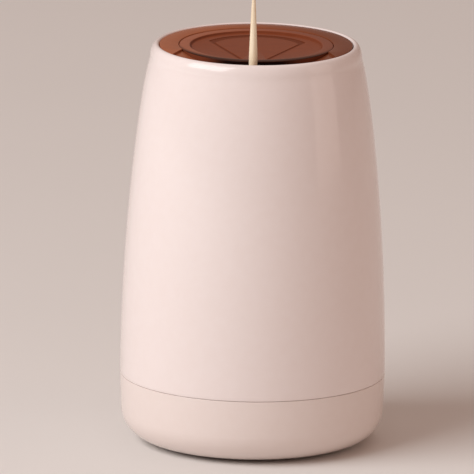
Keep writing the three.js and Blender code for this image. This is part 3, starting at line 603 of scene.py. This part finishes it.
def arc(centre: Point, reach: float, rise: float, start: float, end: float,
        steps: int) -> list[Point]:
    """Points on a stretch of an ellipse.

    Args:
        centre: Radius and height of its middle.
        reach: Half its width.
        rise: Half its height.
        start: First angle in degrees.
        end: Last angle in degrees.
        steps: How many stretches lie between the two.

    Returns:
        The points, both ends among them.
    """
    angles = [math.radians(start + (end - start) * step / steps) for step in range(steps + 1)]
    return [(centre[0] + reach * math.cos(a), centre[1] + rise * math.sin(a)) for a in angles]


def on_circle(radius: float, degrees: float) -> Point:
    """The plan place at a radius and an angle."""
    angle = math.radians(degrees)
    return radius * math.cos(angle), radius * math.sin(angle)


def middle_of(node: str) -> Point:
    """Where the middle of a node of the model stands in plan, in millimetres.

    Args:
        node: The node's name.

    Returns:
        Its place along X and Y.
    """
    low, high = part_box(node)
    return (low.x + high.x) / 2 / METRES_PER_MM, (low.y + high.y) / 2 / METRES_PER_MM


def dress(node: str, finish: Finish, edge: float = 0.0) -> None:
    """Gives a piece of the model its finish and softens its edges.

    Args:
        node: The piece's name.
        finish: Its finish.
        edge: Size of the softened edges in millimetres, none where it is zero.
    """
    thing = bpy.data.objects[node]
    thing.data.materials.clear()
    thing.data.materials.append(finish.material())
    if edge:
        weld = thing.modifiers.new("weld", "WELD")
        weld.merge_threshold = SAME_POINT * METRES_PER_MM
        bevel = thing.modifiers.new("soft_edges", "BEVEL")
        bevel.width = edge * METRES_PER_MM
        bevel.segments = SOFTENED_STRIPS
        bevel.limit_method = "ANGLE"
        bevel.angle_limit = math.radians(SOFTENED_OVER)
        bevel.harden_normals = True
    log.info("%s dressed in %s", node, finish.name)


@dataclass
class Outline:
    """The sizes that the shell and the base share, in millimetres."""

    height: float = 95.3
    seam_radius: float = 31.2
    seam_height: float = 16.2
    gap: float = 0.3
    seam_line: float = 0.1
    wall: float = 2.0
    draw: float = 5.7
    tuck: float = 0.6
    tuck_power: float = 14.0
    shoulder_height: float = 92.1
    ridge_radius: float = 23.4
    inner_round: float = 0.6
    fine_sides: int = 224

    @property
    def seam_top(self) -> float:
        """Height of the shell's lower edge, a fine line above the base."""
        return self.seam_height + self.seam_line

    @property
    def mouth_radius(self) -> float:
        """Radius inside the lip."""
        return self.ridge_radius - self.inner_round

    def radius_at(self, height: float) -> float:
        """The shell's outer radius at a height."""
        share = (height - self.seam_top) / (self.shoulder_height - self.seam_top)
        return self.seam_radius - self.draw * share ** 2 - self.tuck * share ** self.tuck_power

    def flank(self, start: float, end: float, wall: float, steps: int) -> list[Point]:
        """Points up or down the flank.

        Args:
            start: First height.
            end: Last height.
            wall: How far the points lie inside the outer face.
            steps: How many stretches lie between them.

        Returns:
            Radius and height of each point, both ends among them.
        """
        heights = [start + (end - start) * step / steps for step in range(steps + 1)]
        return [(self.radius_at(height) - wall, height) for height in heights]


@dataclass
class ShellAssembly:
    """The tapered shell and the smoky collar in its mouth."""

    outline: Outline
    ledge_radius: float = 20.9
    ledge_top: float = 91.9
    ledge_under: float = 90.4
    notch_half: float = 15.0
    edge_round: float = 0.22
    seam_round: float = 0.12
    collar_top: float = 95.15
    collar_under: float = 93.4
    collar_bore: float = 18.2
    collar_radius: float = 22.72
    foot_radius: float = 21.2
    foot_under: float = 92.2
    hem_radius: float = 19.4
    hem_under: float = 90.8
    trough_inner_half: float = 17.11
    trough_outer_half: float = 19.2
    trough_inner_y: float = -6.2
    trough_outer_y: float = -12.3
    trough_end_depth: float = 0.55
    trough_middle_depth: float = 3.75
    trough_floor: float = 1.2
    trough_margin: float = 1.6
    outlet_y: float = -20.2
    outlet_half: float = 1.3
    tube_half: float = 2.6
    tube_wall: float = 0.7
    tube_length: float = 8.9
    overrun: float = 0.5
    flank_steps: int = 72
    inside_steps: int = 16
    lip_outer_steps: int = 14
    lip_inner_steps: int = 8
    collar_smooth_under: float = 25.0

    def build(self) -> None:
        """Makes both pieces."""
        self.shell()
        self.collar()

    def shell(self) -> None:
        """Makes the outer shell, with its lip and the ledge for the collar."""
        lines = self.outline
        shoulder = lines.radius_at(lines.shoulder_height)
        lip_outer = arc((lines.ridge_radius, lines.shoulder_height), shoulder - lines.ridge_radius,
                        lines.height - lines.shoulder_height, 0, 90, self.lip_outer_steps)
        lip_inner = arc((lines.ridge_radius, lines.height - lines.inner_round), lines.inner_round,
                        lines.inner_round, 90, 180, self.lip_inner_steps)
        profile = [
            *lines.flank(lines.seam_top, lines.shoulder_height, 0.0, self.flank_steps),
            *lip_outer[1:],
            *lip_inner[1:],
            (lines.mouth_radius, self.ledge_top),
            (self.ledge_radius, self.ledge_top),
            (self.ledge_radius, self.ledge_under),
            *lines.flank(self.ledge_under, lines.seam_top, lines.wall, self.inside_steps),
        ]
        work = Workpiece.turned(profile, lines.fine_sides)
        inner_seam = lines.seam_radius - lines.wall
        work.rounded_rings([(lines.seam_radius, lines.seam_top), (inner_seam, lines.seam_top)],
                           self.seam_round)
        mouth = lines.mouth_radius
        notch = Workpiece.block((-self.notch_half, -mouth - self.overrun, self.ledge_under - self.overrun),
                                (self.notch_half, 0.0, self.ledge_top + self.overrun))
        within = Workpiece.bar(mouth, self.ledge_under - 2 * self.overrun, self.ledge_top,
                               lines.fine_sides)
        work.combined(notch.combined(within, Join.KEEP), Join.CUT)
        work.piece("shell", [SHELL_GLOSS], "shell", ["outer_shell"])

    def trough_plan(self, margin: float) -> list[Point]:
        """Plan of the trough, which widens outwards.

        Args:
            margin: How much the plan is grown all round.

        Returns:
            The plan's corners.
        """
        slope = ((self.trough_outer_half - self.trough_inner_half)
                 / (self.trough_inner_y - self.trough_outer_y))
        front = -self.outline.mouth_radius - self.overrun
        back = self.trough_inner_y + margin
        wide = self.trough_inner_half + slope * (self.trough_inner_y - front) + margin
        narrow = self.trough_inner_half + margin
        return [(-wide, front), (wide, front), (narrow, back), (-narrow, back)]

    def trough_slab(self) -> Workpiece:
        """The trough's floor: two ramps down to a flat middle, before it is trimmed.

        Returns:
            The solid.
        """
        end = self.collar_top - self.trough_end_depth
        middle = self.collar_top - self.trough_middle_depth
        fall = (end - middle) / (self.trough_inner_half - self.tube_half)
        far = self.trough_outer_half + self.trough_middle_depth
        far_height = min(end + fall * (far - self.trough_inner_half), self.collar_top - self.outline.gap)
        right = [(self.tube_half, middle), (self.trough_inner_half, end), (far, far_height)]
        line = [*[(-x, z) for x, z in reversed(right)], *right]
        below = [(x, 0.0, z - self.trough_floor) for x, z in line]
        above = [(x, 0.0, z) for x, z in reversed(line)]
        front = -self.outline.mouth_radius - self.overrun
        return Workpiece.carried([*below, *above], (0.0, front, 0.0))

    def collar(self) -> None:
        """Makes the smoky collar, with the trough and the outlet's guide tube."""
        sides = self.outline.fine_sides
        work = Workpiece.turned([
            (self.collar_bore, self.hem_under), (self.hem_radius, self.hem_under),
            (self.hem_radius, self.collar_under), (self.foot_radius, self.collar_under),
            (self.foot_radius, self.foot_under), (self.collar_radius, self.foot_under),
            (self.collar_radius, self.collar_top), (self.collar_bore, self.collar_top),
        ], sides)
        work.rounded_rings([(self.collar_radius, self.collar_top), (self.collar_bore, self.collar_top)],
                           self.edge_round)
        low = self.collar_top - self.trough_middle_depth - self.tube_length
        sleeve = Workpiece.turned([(self.collar_bore, low), (self.collar_radius, low),
                                   (self.collar_radius, self.collar_top),
                                   (self.collar_bore, self.collar_top)], sides)
        opening = Workpiece.raised(self.trough_plan(0.0), low - self.overrun,
                                   self.collar_top + self.overrun)
        floor_plan = Workpiece.raised(self.trough_plan(self.trough_margin), low - self.overrun,
                                      self.collar_top)
        floor = self.trough_slab().combined(sleeve, Join.KEEP).combined(floor_plan, Join.KEEP)
        middle = self.collar_top - self.trough_middle_depth
        front = self.outlet_y - self.outlet_half - self.tube_wall
        back = self.outlet_y + self.outlet_half + self.tube_wall
        tube = Workpiece.block((-self.tube_half, front, middle - self.tube_length),
                               (self.tube_half, back, middle))
        bore = Workpiece.bar(self.outlet_half, low - self.overrun, self.collar_top, BORE_SIDES)
        work.combined(opening, Join.CUT).combined(floor, Join.ADD).combined(tube, Join.ADD)
        work.combined(bore.moved(0.0, self.outlet_y), Join.CUT)
        work.piece("collar", [SMOKY_COLLAR], "shell", ["outlet_collar"], self.collar_smooth_under)


@dataclass
class HopperFan:
    """The hopper's fan-shaped plan, which the button repeats as a line."""

    back_radius: float = 11.25
    half_width: float = 10.2
    neck_half: float = 1.3
    neck_y: float = -16.8
    front_y: float = -21.5
    arc_steps: int = 40

    def plan(self, margin: float, back: float = 0.0) -> list[Point]:
        """Corners of the plan.

        Args:
            margin: How much the plan is grown all round.
            back: How much more its back is grown.

        Returns:
            The corners, counter-clockwise.
        """
        # The sides lean in from the back's corners to the neck
        corner_y = math.sqrt(self.back_radius ** 2 - self.half_width ** 2)
        lean = math.atan2(self.half_width - self.neck_half, corner_y - self.neck_y)
        shift = margin / math.cos(lean)
        # The grown sides meet the back's arc at the corner's angle
        radius = self.back_radius + margin + back
        start = self.neck_half + shift - self.neck_y * math.tan(lean)
        corner = math.acos(start * math.cos(lean) / radius) - lean
        neck_x = self.neck_half + margin
        neck_y = self.neck_y - (shift - margin) / math.tan(lean)
        sweep = math.pi - 2 * corner
        rear = [on_circle(radius, math.degrees(corner + sweep * step / self.arc_steps))
                for step in range(self.arc_steps + 1)]
        return [(-neck_x, self.front_y), (neck_x, self.front_y), (neck_x, neck_y), *rear,
                (-neck_x, neck_y)]


class Zone(Enum):
    """The parts of the button's surface, each with its finish."""

    DISH = SMOKY_DISH
    RIM = SMOKY_RIM
    STEP = STEP_PAINTED_SHADE
    FAN_LINE = SMOKY_LINE
    SKIRT = SKIRT_PAINTED_SHADE


@dataclass
class ButtonAssembly:
    """The smoky press button with its carrier ring and two push legs."""

    outline: Outline
    fan: HopperFan = field(default_factory=HopperFan)
    top: float = 95.0
    radius: float = 18.15
    dish_radius: float = 15.7
    dish_depth: float = 0.5
    under: float = 92.7
    skirt_wall: float = 1.4
    skirt_under: float = 90.8
    edge_round: float = 0.25
    dish_round: float = 0.12
    rib_length: float = 6.0
    rib_wall: float = 1.0
    line_depth: float = 0.08
    line_width: float = 0.75
    line_back: float = 0.7
    fan_front_y: float = -13.0
    leg_radius: float = 1.5
    leg_place: Point = (14.1, 6.032)
    leg_under: float = 30.963
    leg_top: float = 89.4
    leg_round: float = 0.5
    carrier_edge: float = 0.15
    far: float = 40.0
    overrun: float = 0.5
    edge_strips: int = 6
    leg_strips: int = 4
    button_smooth_under: float = 25.0

    def build(self) -> None:
        """Makes the button and the legs, and dresses the carrier."""
        self.button()
        for side, sign in SIDES.items():
            self.leg(f"push_leg_{side}", sign)
        dress("button_carrier", INNER_SATIN, self.carrier_edge)

    def band(self, wall: float, bottom: float, top: float, back: float = 0.0) -> Workpiece:
        """A wall that follows the fan's plan, without its front.

        Args:
            wall: Thickness of the wall.
            bottom: Height of its underside.
            top: Height of its upper side.
            back: How much thicker the back is, on either side.

        Returns:
            The solid.
        """
        low, high = bottom - self.overrun, top + self.overrun
        work = Workpiece.raised(self.fan.plan(wall, back), bottom, top)
        work.combined(Workpiece.raised(self.fan.plan(0.0, -back), low, high), Join.CUT)
        work.combined(Workpiece.block((-self.far, self.fan_front_y, low), (self.far, self.far, high)),
                      Join.KEEP)
        within = Workpiece.bar(self.dish_radius - self.line_width, low, high, self.outline.fine_sides)
        return work.combined(within, Join.KEEP)

    def button(self) -> None:
        """Makes the dished button, with the fan's line on top and its rib below."""
        dish = self.top - self.dish_depth
        inner = self.radius - self.skirt_wall
        step = self.dish_radius - self.dish_depth
        work = Workpiece.turned([
            (0.0, self.under), (inner, self.under), (inner, self.skirt_under),
            (self.radius, self.skirt_under), (self.radius, self.top), (self.dish_radius, self.top),
            (step, dish), (0.0, dish),
        ], self.outline.fine_sides)
        work.rounded_rings([(self.radius, self.top)], self.edge_round, self.edge_strips)
        work.rounded_rings([(self.dish_radius, self.top), (step, dish)], self.dish_round)
        rib = self.band(self.rib_wall, self.under - self.rib_length, self.under + self.outline.gap)
        line = self.band(self.line_width, dish - self.line_depth, dish + self.overrun, self.line_back)
        work.combined(rib, Join.ADD).combined(line, Join.CUT)
        zones = list(Zone)
        for face in work.mesh.faces:
            face.material_index = zones.index(self.zone(face.calc_center_median()))
        work.piece("button", [zone.value for zone in zones], "button", ["press_button"],
                   self.button_smooth_under)

    def zone(self, middle: Vector) -> Zone:
        """Which part of the button's surface a face belongs to.

        Args:
            middle: The middle of the face.

        Returns:
            The zone.
        """
        dish = self.top - self.dish_depth
        near = self.line_depth / 4
        away = math.hypot(middle.x, middle.y)
        if away > self.radius - self.edge_round and middle.z < self.top - self.edge_round / 2:
            return Zone.SKIRT
        if away > self.dish_radius - self.dish_round and middle.z > dish + near:
            return Zone.RIM
        if dish + near < middle.z < self.top - near and away < self.dish_radius:
            return Zone.STEP
        within = self.dish_radius - self.dish_depth - self.dish_round
        if dish - self.line_depth - near < middle.z < dish - near and away < within:
            return Zone.FAN_LINE
        return Zone.DISH

    def leg(self, node: str, sign: int) -> None:
        """Makes one push leg.

        Args:
            node: The node that it stands for.
            sign: 1 on the right, -1 on the left.
        """
        work = Workpiece.bar(self.leg_radius, self.leg_under, self.leg_top)
        work.rounded_rings([(self.leg_radius, self.leg_under)], self.leg_round, self.leg_strips)
        work.moved(sign * self.leg_place[0], self.leg_place[1])
        work.piece(f"{node}_rod", [STEEL_UPRIGHT], "button", [node])


@dataclass
class Screw:
    """A pan-head screw with a slot, standing upright."""

    node: str
    place: Point
    seat: float
    length: float
    shank: float = 1.0
    head_radius: float = 1.9
    head_height: float = 1.3
    lift: float = 0.3
    slot_width: float = 0.5
    slot_depth: float = 0.6
    head_strips: int = 5

    def build(self) -> None:
        """Makes the screw."""
        bottom = self.seat + self.lift
        top = bottom + self.head_height
        work = Workpiece.turned([
            (0.0, self.seat - self.length), (self.shank / 2, self.seat - self.length),
            (self.shank, self.seat - self.length + self.shank / 2), (self.shank, bottom),
            (self.head_radius, bottom), (self.head_radius, top), (0.0, top),
        ], ROUND_SIDES)
        work.rounded_rings([(self.head_radius, top)], self.head_height / 3, self.head_strips)
        reach = 2 * self.head_radius
        slot = Workpiece.block((-reach, -self.slot_width / 2, top - self.slot_depth),
                               (reach, self.slot_width / 2, top + self.lift))
        work.combined(slot, Join.CUT).moved(*self.place)
        work.piece(f"{self.node}_turned", [STEEL_COILED], "base", [self.node])


@dataclass
class Pick:
    """A round toothpick with a long taper at each end."""

    length: float = 65.0
    radius: float = 1.0
    tip_radius: float = 0.25
    tip_round: float = 0.12
    taper: float = 17.0
    swell: float = 0.03
    sides: int = 24
    taper_steps: int = 6
    smooth_under: float = 50.0

    def profile(self) -> list[Point]:
        """The whole pick's outline, closed on the axis.

        Returns:
            Radius and height of each corner.
        """
        half = [(self.tip_radius, 0.0), *self._taper(), (self.radius, self.taper)]
        back = [(radius, self.length - height) for radius, height in reversed(half)]
        return [(0.0, 0.0), *half, *back, (0.0, self.length)]

    def _taper(self) -> list[Point]:
        """The taper, which swells gently before it meets the full width.

        Returns:
            Radius and height of the points between its ends.
        """
        reach = self.radius - self.tip_radius
        shares = [step / self.taper_steps for step in range(1, self.taper_steps)]
        return [(self.tip_radius + reach * (share + math.sin(math.pi * share) * self.swell),
                 self.taper * share) for share in shares]

    def make(self, node: str, place: Place, body: str) -> None:
        """Makes one pick.

        Args:
            node: The node that it stands for.
            place: Where the middle of its foot stands.
            body: The body that it rides on.
        """
        work = Workpiece.turned(self.profile(), self.sides)
        work.rounded_rings([(self.tip_radius, 0.0), (self.tip_radius, self.length)], self.tip_round)
        work.moved(*place).piece(f"{node}_turned", [PICK_WOOD], body, [node], self.smooth_under)


@dataclass
class BaseAssembly:
    """The round base and what stands in it: chassis, hopper, stock, springs and screws."""

    outline: Outline
    pick: Pick = field(default_factory=Pick)
    foot_height: float = 0.75
    foot_radius: float = 4.0
    foot_recess: float = 0.6
    foot_circle: float = 16.0
    foot_count: int = 4
    first_foot_angle: float = 45.0
    foot_strips: int = 4
    floor_top: float = 3.2
    flat_radius: float = 23.65
    edge_round: float = 7.2
    edge_steps: int = 28
    inside_steps: int = 12
    spigot_top: float = 19.5
    seam_round: float = 0.12
    spigot_wall: float = 1.0
    spigot_chamfer: float = 0.4
    post_radius: float = 2.6
    post_top: float = 5.2
    pilot_radius: float = 1.3
    pilot_bottom: float = 2.1
    plate_top: float = 7.1
    screw_circle: float = 20.0
    screw_angles: tuple[float, ...] = (-10.0, 90.0, 190.0)
    chassis_screw_length: float = 3.9
    tab_seat: float = 9.2
    tab_screw_length: float = 3.7
    spring_place: Point = (14.1, 6.032)
    spring_radius: float = 2.1
    spring_wire: float = 0.4
    spring_bottom: float = 7.8
    spring_height: float = 17.563
    spring_end_pitch: float = 1.3
    spring_turns: int = 7
    spring_floor: float = 7.4
    spring_give: float = 0.8
    spring_turn_steps: int = 36
    wire_sides: int = 12
    spring_smooth_under: float = 60.0
    press: float = 9.125
    picks_in_stock: int = 16
    pick_foot: float = 17.3
    axle_place: Point = (15.6, 23.8)
    axle_end: float = 16.0
    axle_radius: float = 1.0
    axle_head_radius: float = 1.9
    axle_head_length: float = 1.0
    axle_head_strips: int = 5
    clip_width: float = 0.8
    groove_depth: float = 0.3
    soft_edge: float = 0.15

    def build(self) -> None:
        """Makes the base and everything fixed to it."""
        self.cup()
        for number in range(1, self.foot_count + 1):
            self.foot(f"foot_{number}")
        for number, angle in enumerate(self.screw_angles, 1):
            Screw(f"chassis_screw_{number}", on_circle(self.screw_circle, angle), self.plate_top,
                  self.chassis_screw_length).build()
        for side in SIDES:
            node = f"hopper_screw_{side}"
            Screw(node, middle_of(node), self.tab_seat, self.tab_screw_length).build()
        for number in range(1, self.picks_in_stock + 1):
            node = f"stock_pick_{number}"
            self.pick.make(node, (*middle_of(node), self.pick_foot), "base")
        for side, sign in SIDES.items():
            self.spring(f"return_spring_{side}", sign)
        self.axle()
        dress("axle_clip", STEEL_ACROSS)
        dress("chassis_plate", GREY_SATIN, self.soft_edge)
        dress("hopper", INNER_SATIN, self.soft_edge)

    def cup(self) -> None:
        """Makes the rounded base with its spigot, foot recesses and screw posts."""
        lines = self.outline
        spigot = lines.seam_radius - lines.wall - lines.gap
        inner = spigot - self.spigot_wall
        inner_round = inner - self.flat_radius
        work = Workpiece.turned([
            (0.0, self.foot_height),
            *arc((self.flat_radius, self.foot_height + self.edge_round), self.edge_round,
                 self.edge_round, -90, 0, self.edge_steps),
            (lines.seam_radius, lines.seam_height),
            (spigot, lines.seam_height),
            (spigot, self.spigot_top - self.spigot_chamfer),
            (spigot - self.spigot_chamfer, self.spigot_top),
            (inner, self.spigot_top),
            *arc((self.flat_radius, self.floor_top + inner_round), inner_round, inner_round,
                 0, -90, self.inside_steps),
            (0.0, self.floor_top),
        ], lines.fine_sides)
        work.rounded_rings([(lines.seam_radius, lines.seam_height)], self.seam_round)
        for number in range(self.foot_count):
            angle = self.first_foot_angle + 360 / self.foot_count * number
            recess = Workpiece.bar(self.foot_radius + lines.gap, 0.0, self.foot_height + self.foot_recess)
            work.combined(recess.moved(*on_circle(self.foot_circle, angle)), Join.CUT)
        for angle in self.screw_angles:
            place = on_circle(self.screw_circle, angle)
            post = Workpiece.bar(self.post_radius, self.floor_top - lines.gap, self.post_top)
            pilot = Workpiece.bar(self.pilot_radius, self.pilot_bottom, self.post_top + lines.gap)
            work.combined(post.moved(*place), Join.ADD).combined(pilot.moved(*place), Join.CUT)
        work.piece("base", [BASE_GLOSS], "base", ["base_cup"])

    def foot(self, node: str) -> None:
        """Makes one rubber foot with a rounded tread.

        Args:
            node: The node that it stands for.
        """
        top = self.foot_height + self.foot_recess - self.outline.gap
        work = Workpiece.bar(self.foot_radius, 0.0, top)
        work.rounded_rings([(self.foot_radius, 0.0)], self.outline.gap, self.foot_strips)
        work.moved(*middle_of(node)).piece(f"{node}_pad", [FOOT_RUBBER], "base", [node])

    def spring(self, node: str, sign: int) -> None:
        """Makes one return spring: a wire wound with close end turns.

        Args:
            node: The node that it stands for.
            sign: 1 on the right, -1 on the left.
        """
        work = Workpiece()
        section = bmesh.ops.create_circle(work.mesh, cap_ends=True, radius=self.spring_wire,
                                          segments=self.wire_sides)["verts"]
        upright = Matrix.Translation((self.spring_radius, 0.0, self.spring_bottom)) @ Matrix.Rotation(
            math.pi / 2, 4, "X")
        bmesh.ops.transform(work.mesh, matrix=upright, verts=section)
        middle_turns = self.spring_turns - 2
        middle_pitch = (self.spring_height - 2 * self.spring_end_pitch) / middle_turns
        front = list(work.mesh.faces)
        for turns, pitch in ((1, self.spring_end_pitch), (middle_turns, middle_pitch),
                             (1, self.spring_end_pitch)):
            made = bmesh.ops.spin(work.mesh, geom=front, cent=(0, 0, 0), axis=(0, 0, 1),
                                  dvec=(0, 0, pitch / self.spring_turn_steps),
                                  angle=math.tau * turns, steps=self.spring_turn_steps * turns)
            front = [part for part in made["geom_last"] if isinstance(part, bmesh.types.BMFace)]
        work.closed().moved(sign * self.spring_place[0], self.spring_place[1])
        thing = work.piece(f"{node}_wire", [STEEL_COILED], "base", [node], self.spring_smooth_under)
        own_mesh(thing)

    def axle(self) -> None:
        """Makes the lever's pin, with its round head and the groove for the clip."""
        groove = self.axle_end + self.outline.gap
        inner = self.axle_radius - self.groove_depth
        end = groove + 2 * self.clip_width
        work = Workpiece.turned([
            (0.0, -self.axle_end - self.axle_head_length),
            (self.axle_head_radius, -self.axle_end - self.axle_head_length),
            (self.axle_head_radius, -self.axle_end), (self.axle_radius, -self.axle_end),
            (self.axle_radius, groove), (inner, groove), (inner, groove + self.clip_width),
            (self.axle_radius, groove + self.clip_width), (self.axle_radius, end), (0.0, end),
        ], ROUND_SIDES)
        work.rounded_rings([(self.axle_head_radius, -self.axle_end - self.axle_head_length)],
                           self.axle_head_length / 2, self.axle_head_strips)
        work.laid_along_x().moved(0.0, *self.axle_place)
        work.piece("axle_pin_turned", [STEEL_ACROSS], "base", ["axle_pin"])


@dataclass
class LiftAssembly:
    """The forked lever, the lifter with its crossbar, and the pick that it holds up."""

    pick: Pick = field(default_factory=Pick)
    bar_half: float = 13.9
    bar_radius: float = 1.0
    bar_round: float = 0.25
    bar_sides: int = 40
    bar_place: Point = (-19.0, 40.3)
    outlet_y: float = -20.2
    pick_foot: float = 49.0
    lever_edge: float = 0.15
    lifter_edge: float = 0.08

    def build(self) -> None:
        """Dresses the lever and the lifter, and makes the bar and the pick."""
        dress("lever_yoke", GREY_SATIN, self.lever_edge)
        dress("lifter", GREY_SATIN, self.lifter_edge)
        work = Workpiece.bar(self.bar_radius, -self.bar_half, self.bar_half, self.bar_sides)
        work.rounded_rings([(self.bar_radius, -self.bar_half), (self.bar_radius, self.bar_half)],
                           self.bar_round)
        work.laid_along_x().moved(0.0, *self.bar_place)
        work.piece("lifter_bar_turned", [STEEL_ACROSS], "lifter", ["lifter_bar"])
        self.pick.make("presented_pick", (0.0, self.outlet_y, self.pick_foot), "lifter")


def direction(azimuth: float, elevation: float) -> Vector:
    """The way from the object to a place round it.

    Args:
        azimuth: Degrees round the object, 0 in front and 90 to its right.
        elevation: Degrees above the horizon.

    Returns:
        A vector of length 1.
    """
    turn, rise = math.radians(azimuth), math.radians(elevation)
    return Vector((math.sin(turn) * math.cos(rise), -math.cos(turn) * math.cos(rise), math.sin(rise)))


@dataclass(frozen=True)
class Lamp:
    """One soft rectangular lamp that faces the object.

    It stands at an azimuth and an elevation in degrees. Its distance, width and height are in metres.
    """

    name: str
    azimuth: float
    elevation: float
    distance: float
    width: float
    height: float
    watts: float
    colour: Colour

    def hang(self, aim: Vector) -> None:
        """Puts the lamp into the scene.

        Args:
            aim: The point that it faces, in metres.
        """
        data = bpy.data.lights.new(self.name, "AREA")
        data.shape = "RECTANGLE"
        data.size, data.size_y = self.width, self.height
        data.energy = self.watts
        data.color = self.colour
        thing = into_scene(self.name, data)
        back = direction(self.azimuth, self.elevation)
        thing.location = back * self.distance + aim
        thing.rotation_mode = "QUATERNION"
        thing.rotation_quaternion = (-back).to_track_quat("-Z", "Y")
        thing.visible_camera = False


KEY_SOFTBOX = Lamp("key_softbox", azimuth=-56.0, elevation=36.0, distance=1.6, width=1.3, height=1.1,
                   watts=22.6, colour=(0.965, 0.985, 1.0))
SIDE_PANEL = Lamp("side_panel", azimuth=77.0, elevation=14.0, distance=1.2, width=0.62, height=0.7,
                  watts=1.6, colour=(1.0, 0.78, 0.68))
TOP_PANEL = Lamp("top_panel", azimuth=150.0, elevation=70.0, distance=1.6, width=1.2, height=1.2,
                 watts=2.5, colour=(1.0, 0.88, 0.82))


@dataclass
class Studio:
    """The pale floor, the soft lamps and the camera."""

    picture_side: int = 474
    pixels_per_mm: float = 4.25
    azimuth: float = 2.0
    elevation: float = 13.1
    lean: float = 0.66
    aim_height: float = 48.65
    aim_left: float = 4.0
    distance: float = 4.5
    sensor: float = 36.0
    clip: Point = (0.1, 30.0)
    floor_radius: float = 12.0
    floor_sides: int = 96
    world_colour: Colour = (1.0, 0.7, 0.585)
    world_strength: float = 0.3

    def build(self) -> None:
        """Sets up everything that isn't the object."""
        self.camera()
        self.floor()
        self.world()
        for lamp in (KEY_SOFTBOX, SIDE_PANEL, TOP_PANEL):
            lamp.hang(self.aim)

    @property
    def aim(self) -> Vector:
        """The point of the object's axis that the lamps face, in metres."""
        return Vector((0.0, 0.0, self.aim_height * METRES_PER_MM))

    def camera(self) -> None:
        """Sets the camera at the photograph's angle, far away and with a long lens."""
        data = bpy.data.cameras.new("camera")
        data.sensor_width = self.sensor
        frame_width = self.picture_side / self.pixels_per_mm * METRES_PER_MM
        data.lens = self.sensor * self.distance / frame_width
        data.clip_start, data.clip_end = self.clip
        thing = into_scene("camera", data)
        back = direction(self.azimuth, self.elevation)
        turn = (-back).to_track_quat("-Z", "Y")
        right = turn @ Vector((1.0, 0.0, 0.0))
        thing.location = self.aim - right * self.aim_left * METRES_PER_MM + back * self.distance
        thing.rotation_mode = "QUATERNION"
        thing.rotation_quaternion = turn @ Quaternion((0.0, 0.0, 1.0), math.radians(self.lean))
        bpy.context.scene.camera = thing

    def floor(self) -> None:
        """Lays the plain pale floor."""
        mesh = bmesh.new()
        bmesh.ops.create_circle(mesh, cap_ends=True, radius=self.floor_radius, segments=self.floor_sides)
        data = bpy.data.meshes.new("floor")
        mesh.to_mesh(data)
        mesh.free()
        data.materials.append(FLOOR_PAPER.material())
        into_scene("floor", data)

    def world(self) -> None:
        """Adds a soft, even and slightly warm light from all round."""
        world = bpy.data.worlds.new("studio")
        world.use_nodes = True
        tree = world.node_tree
        tree.nodes.clear()
        output = tree.nodes.new("ShaderNodeOutputWorld")
        light = tree.nodes.new("ShaderNodeBackground")
        light.inputs["Color"].default_value = (*self.world_colour, 1.0)
        light.inputs["Strength"].default_value = self.world_strength
        tree.links.new(light.outputs["Background"], output.inputs["Surface"])
        bpy.context.scene.world = world


def main() -> None:
    """Builds the studio and every assembly."""
    logging.basicConfig(level=logging.INFO, format="%(message)s")
    for thing in list(bpy.data.objects):
        bpy.data.objects.remove(thing)
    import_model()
    bpy.context.scene.view_settings.view_transform = "Standard"
    Studio().build()
    outline = Outline()
    ShellAssembly(outline).build()
    ButtonAssembly(outline).build()
    BaseAssembly(outline).build()
    LiftAssembly().build()


if __name__ == "__main__":
    main()
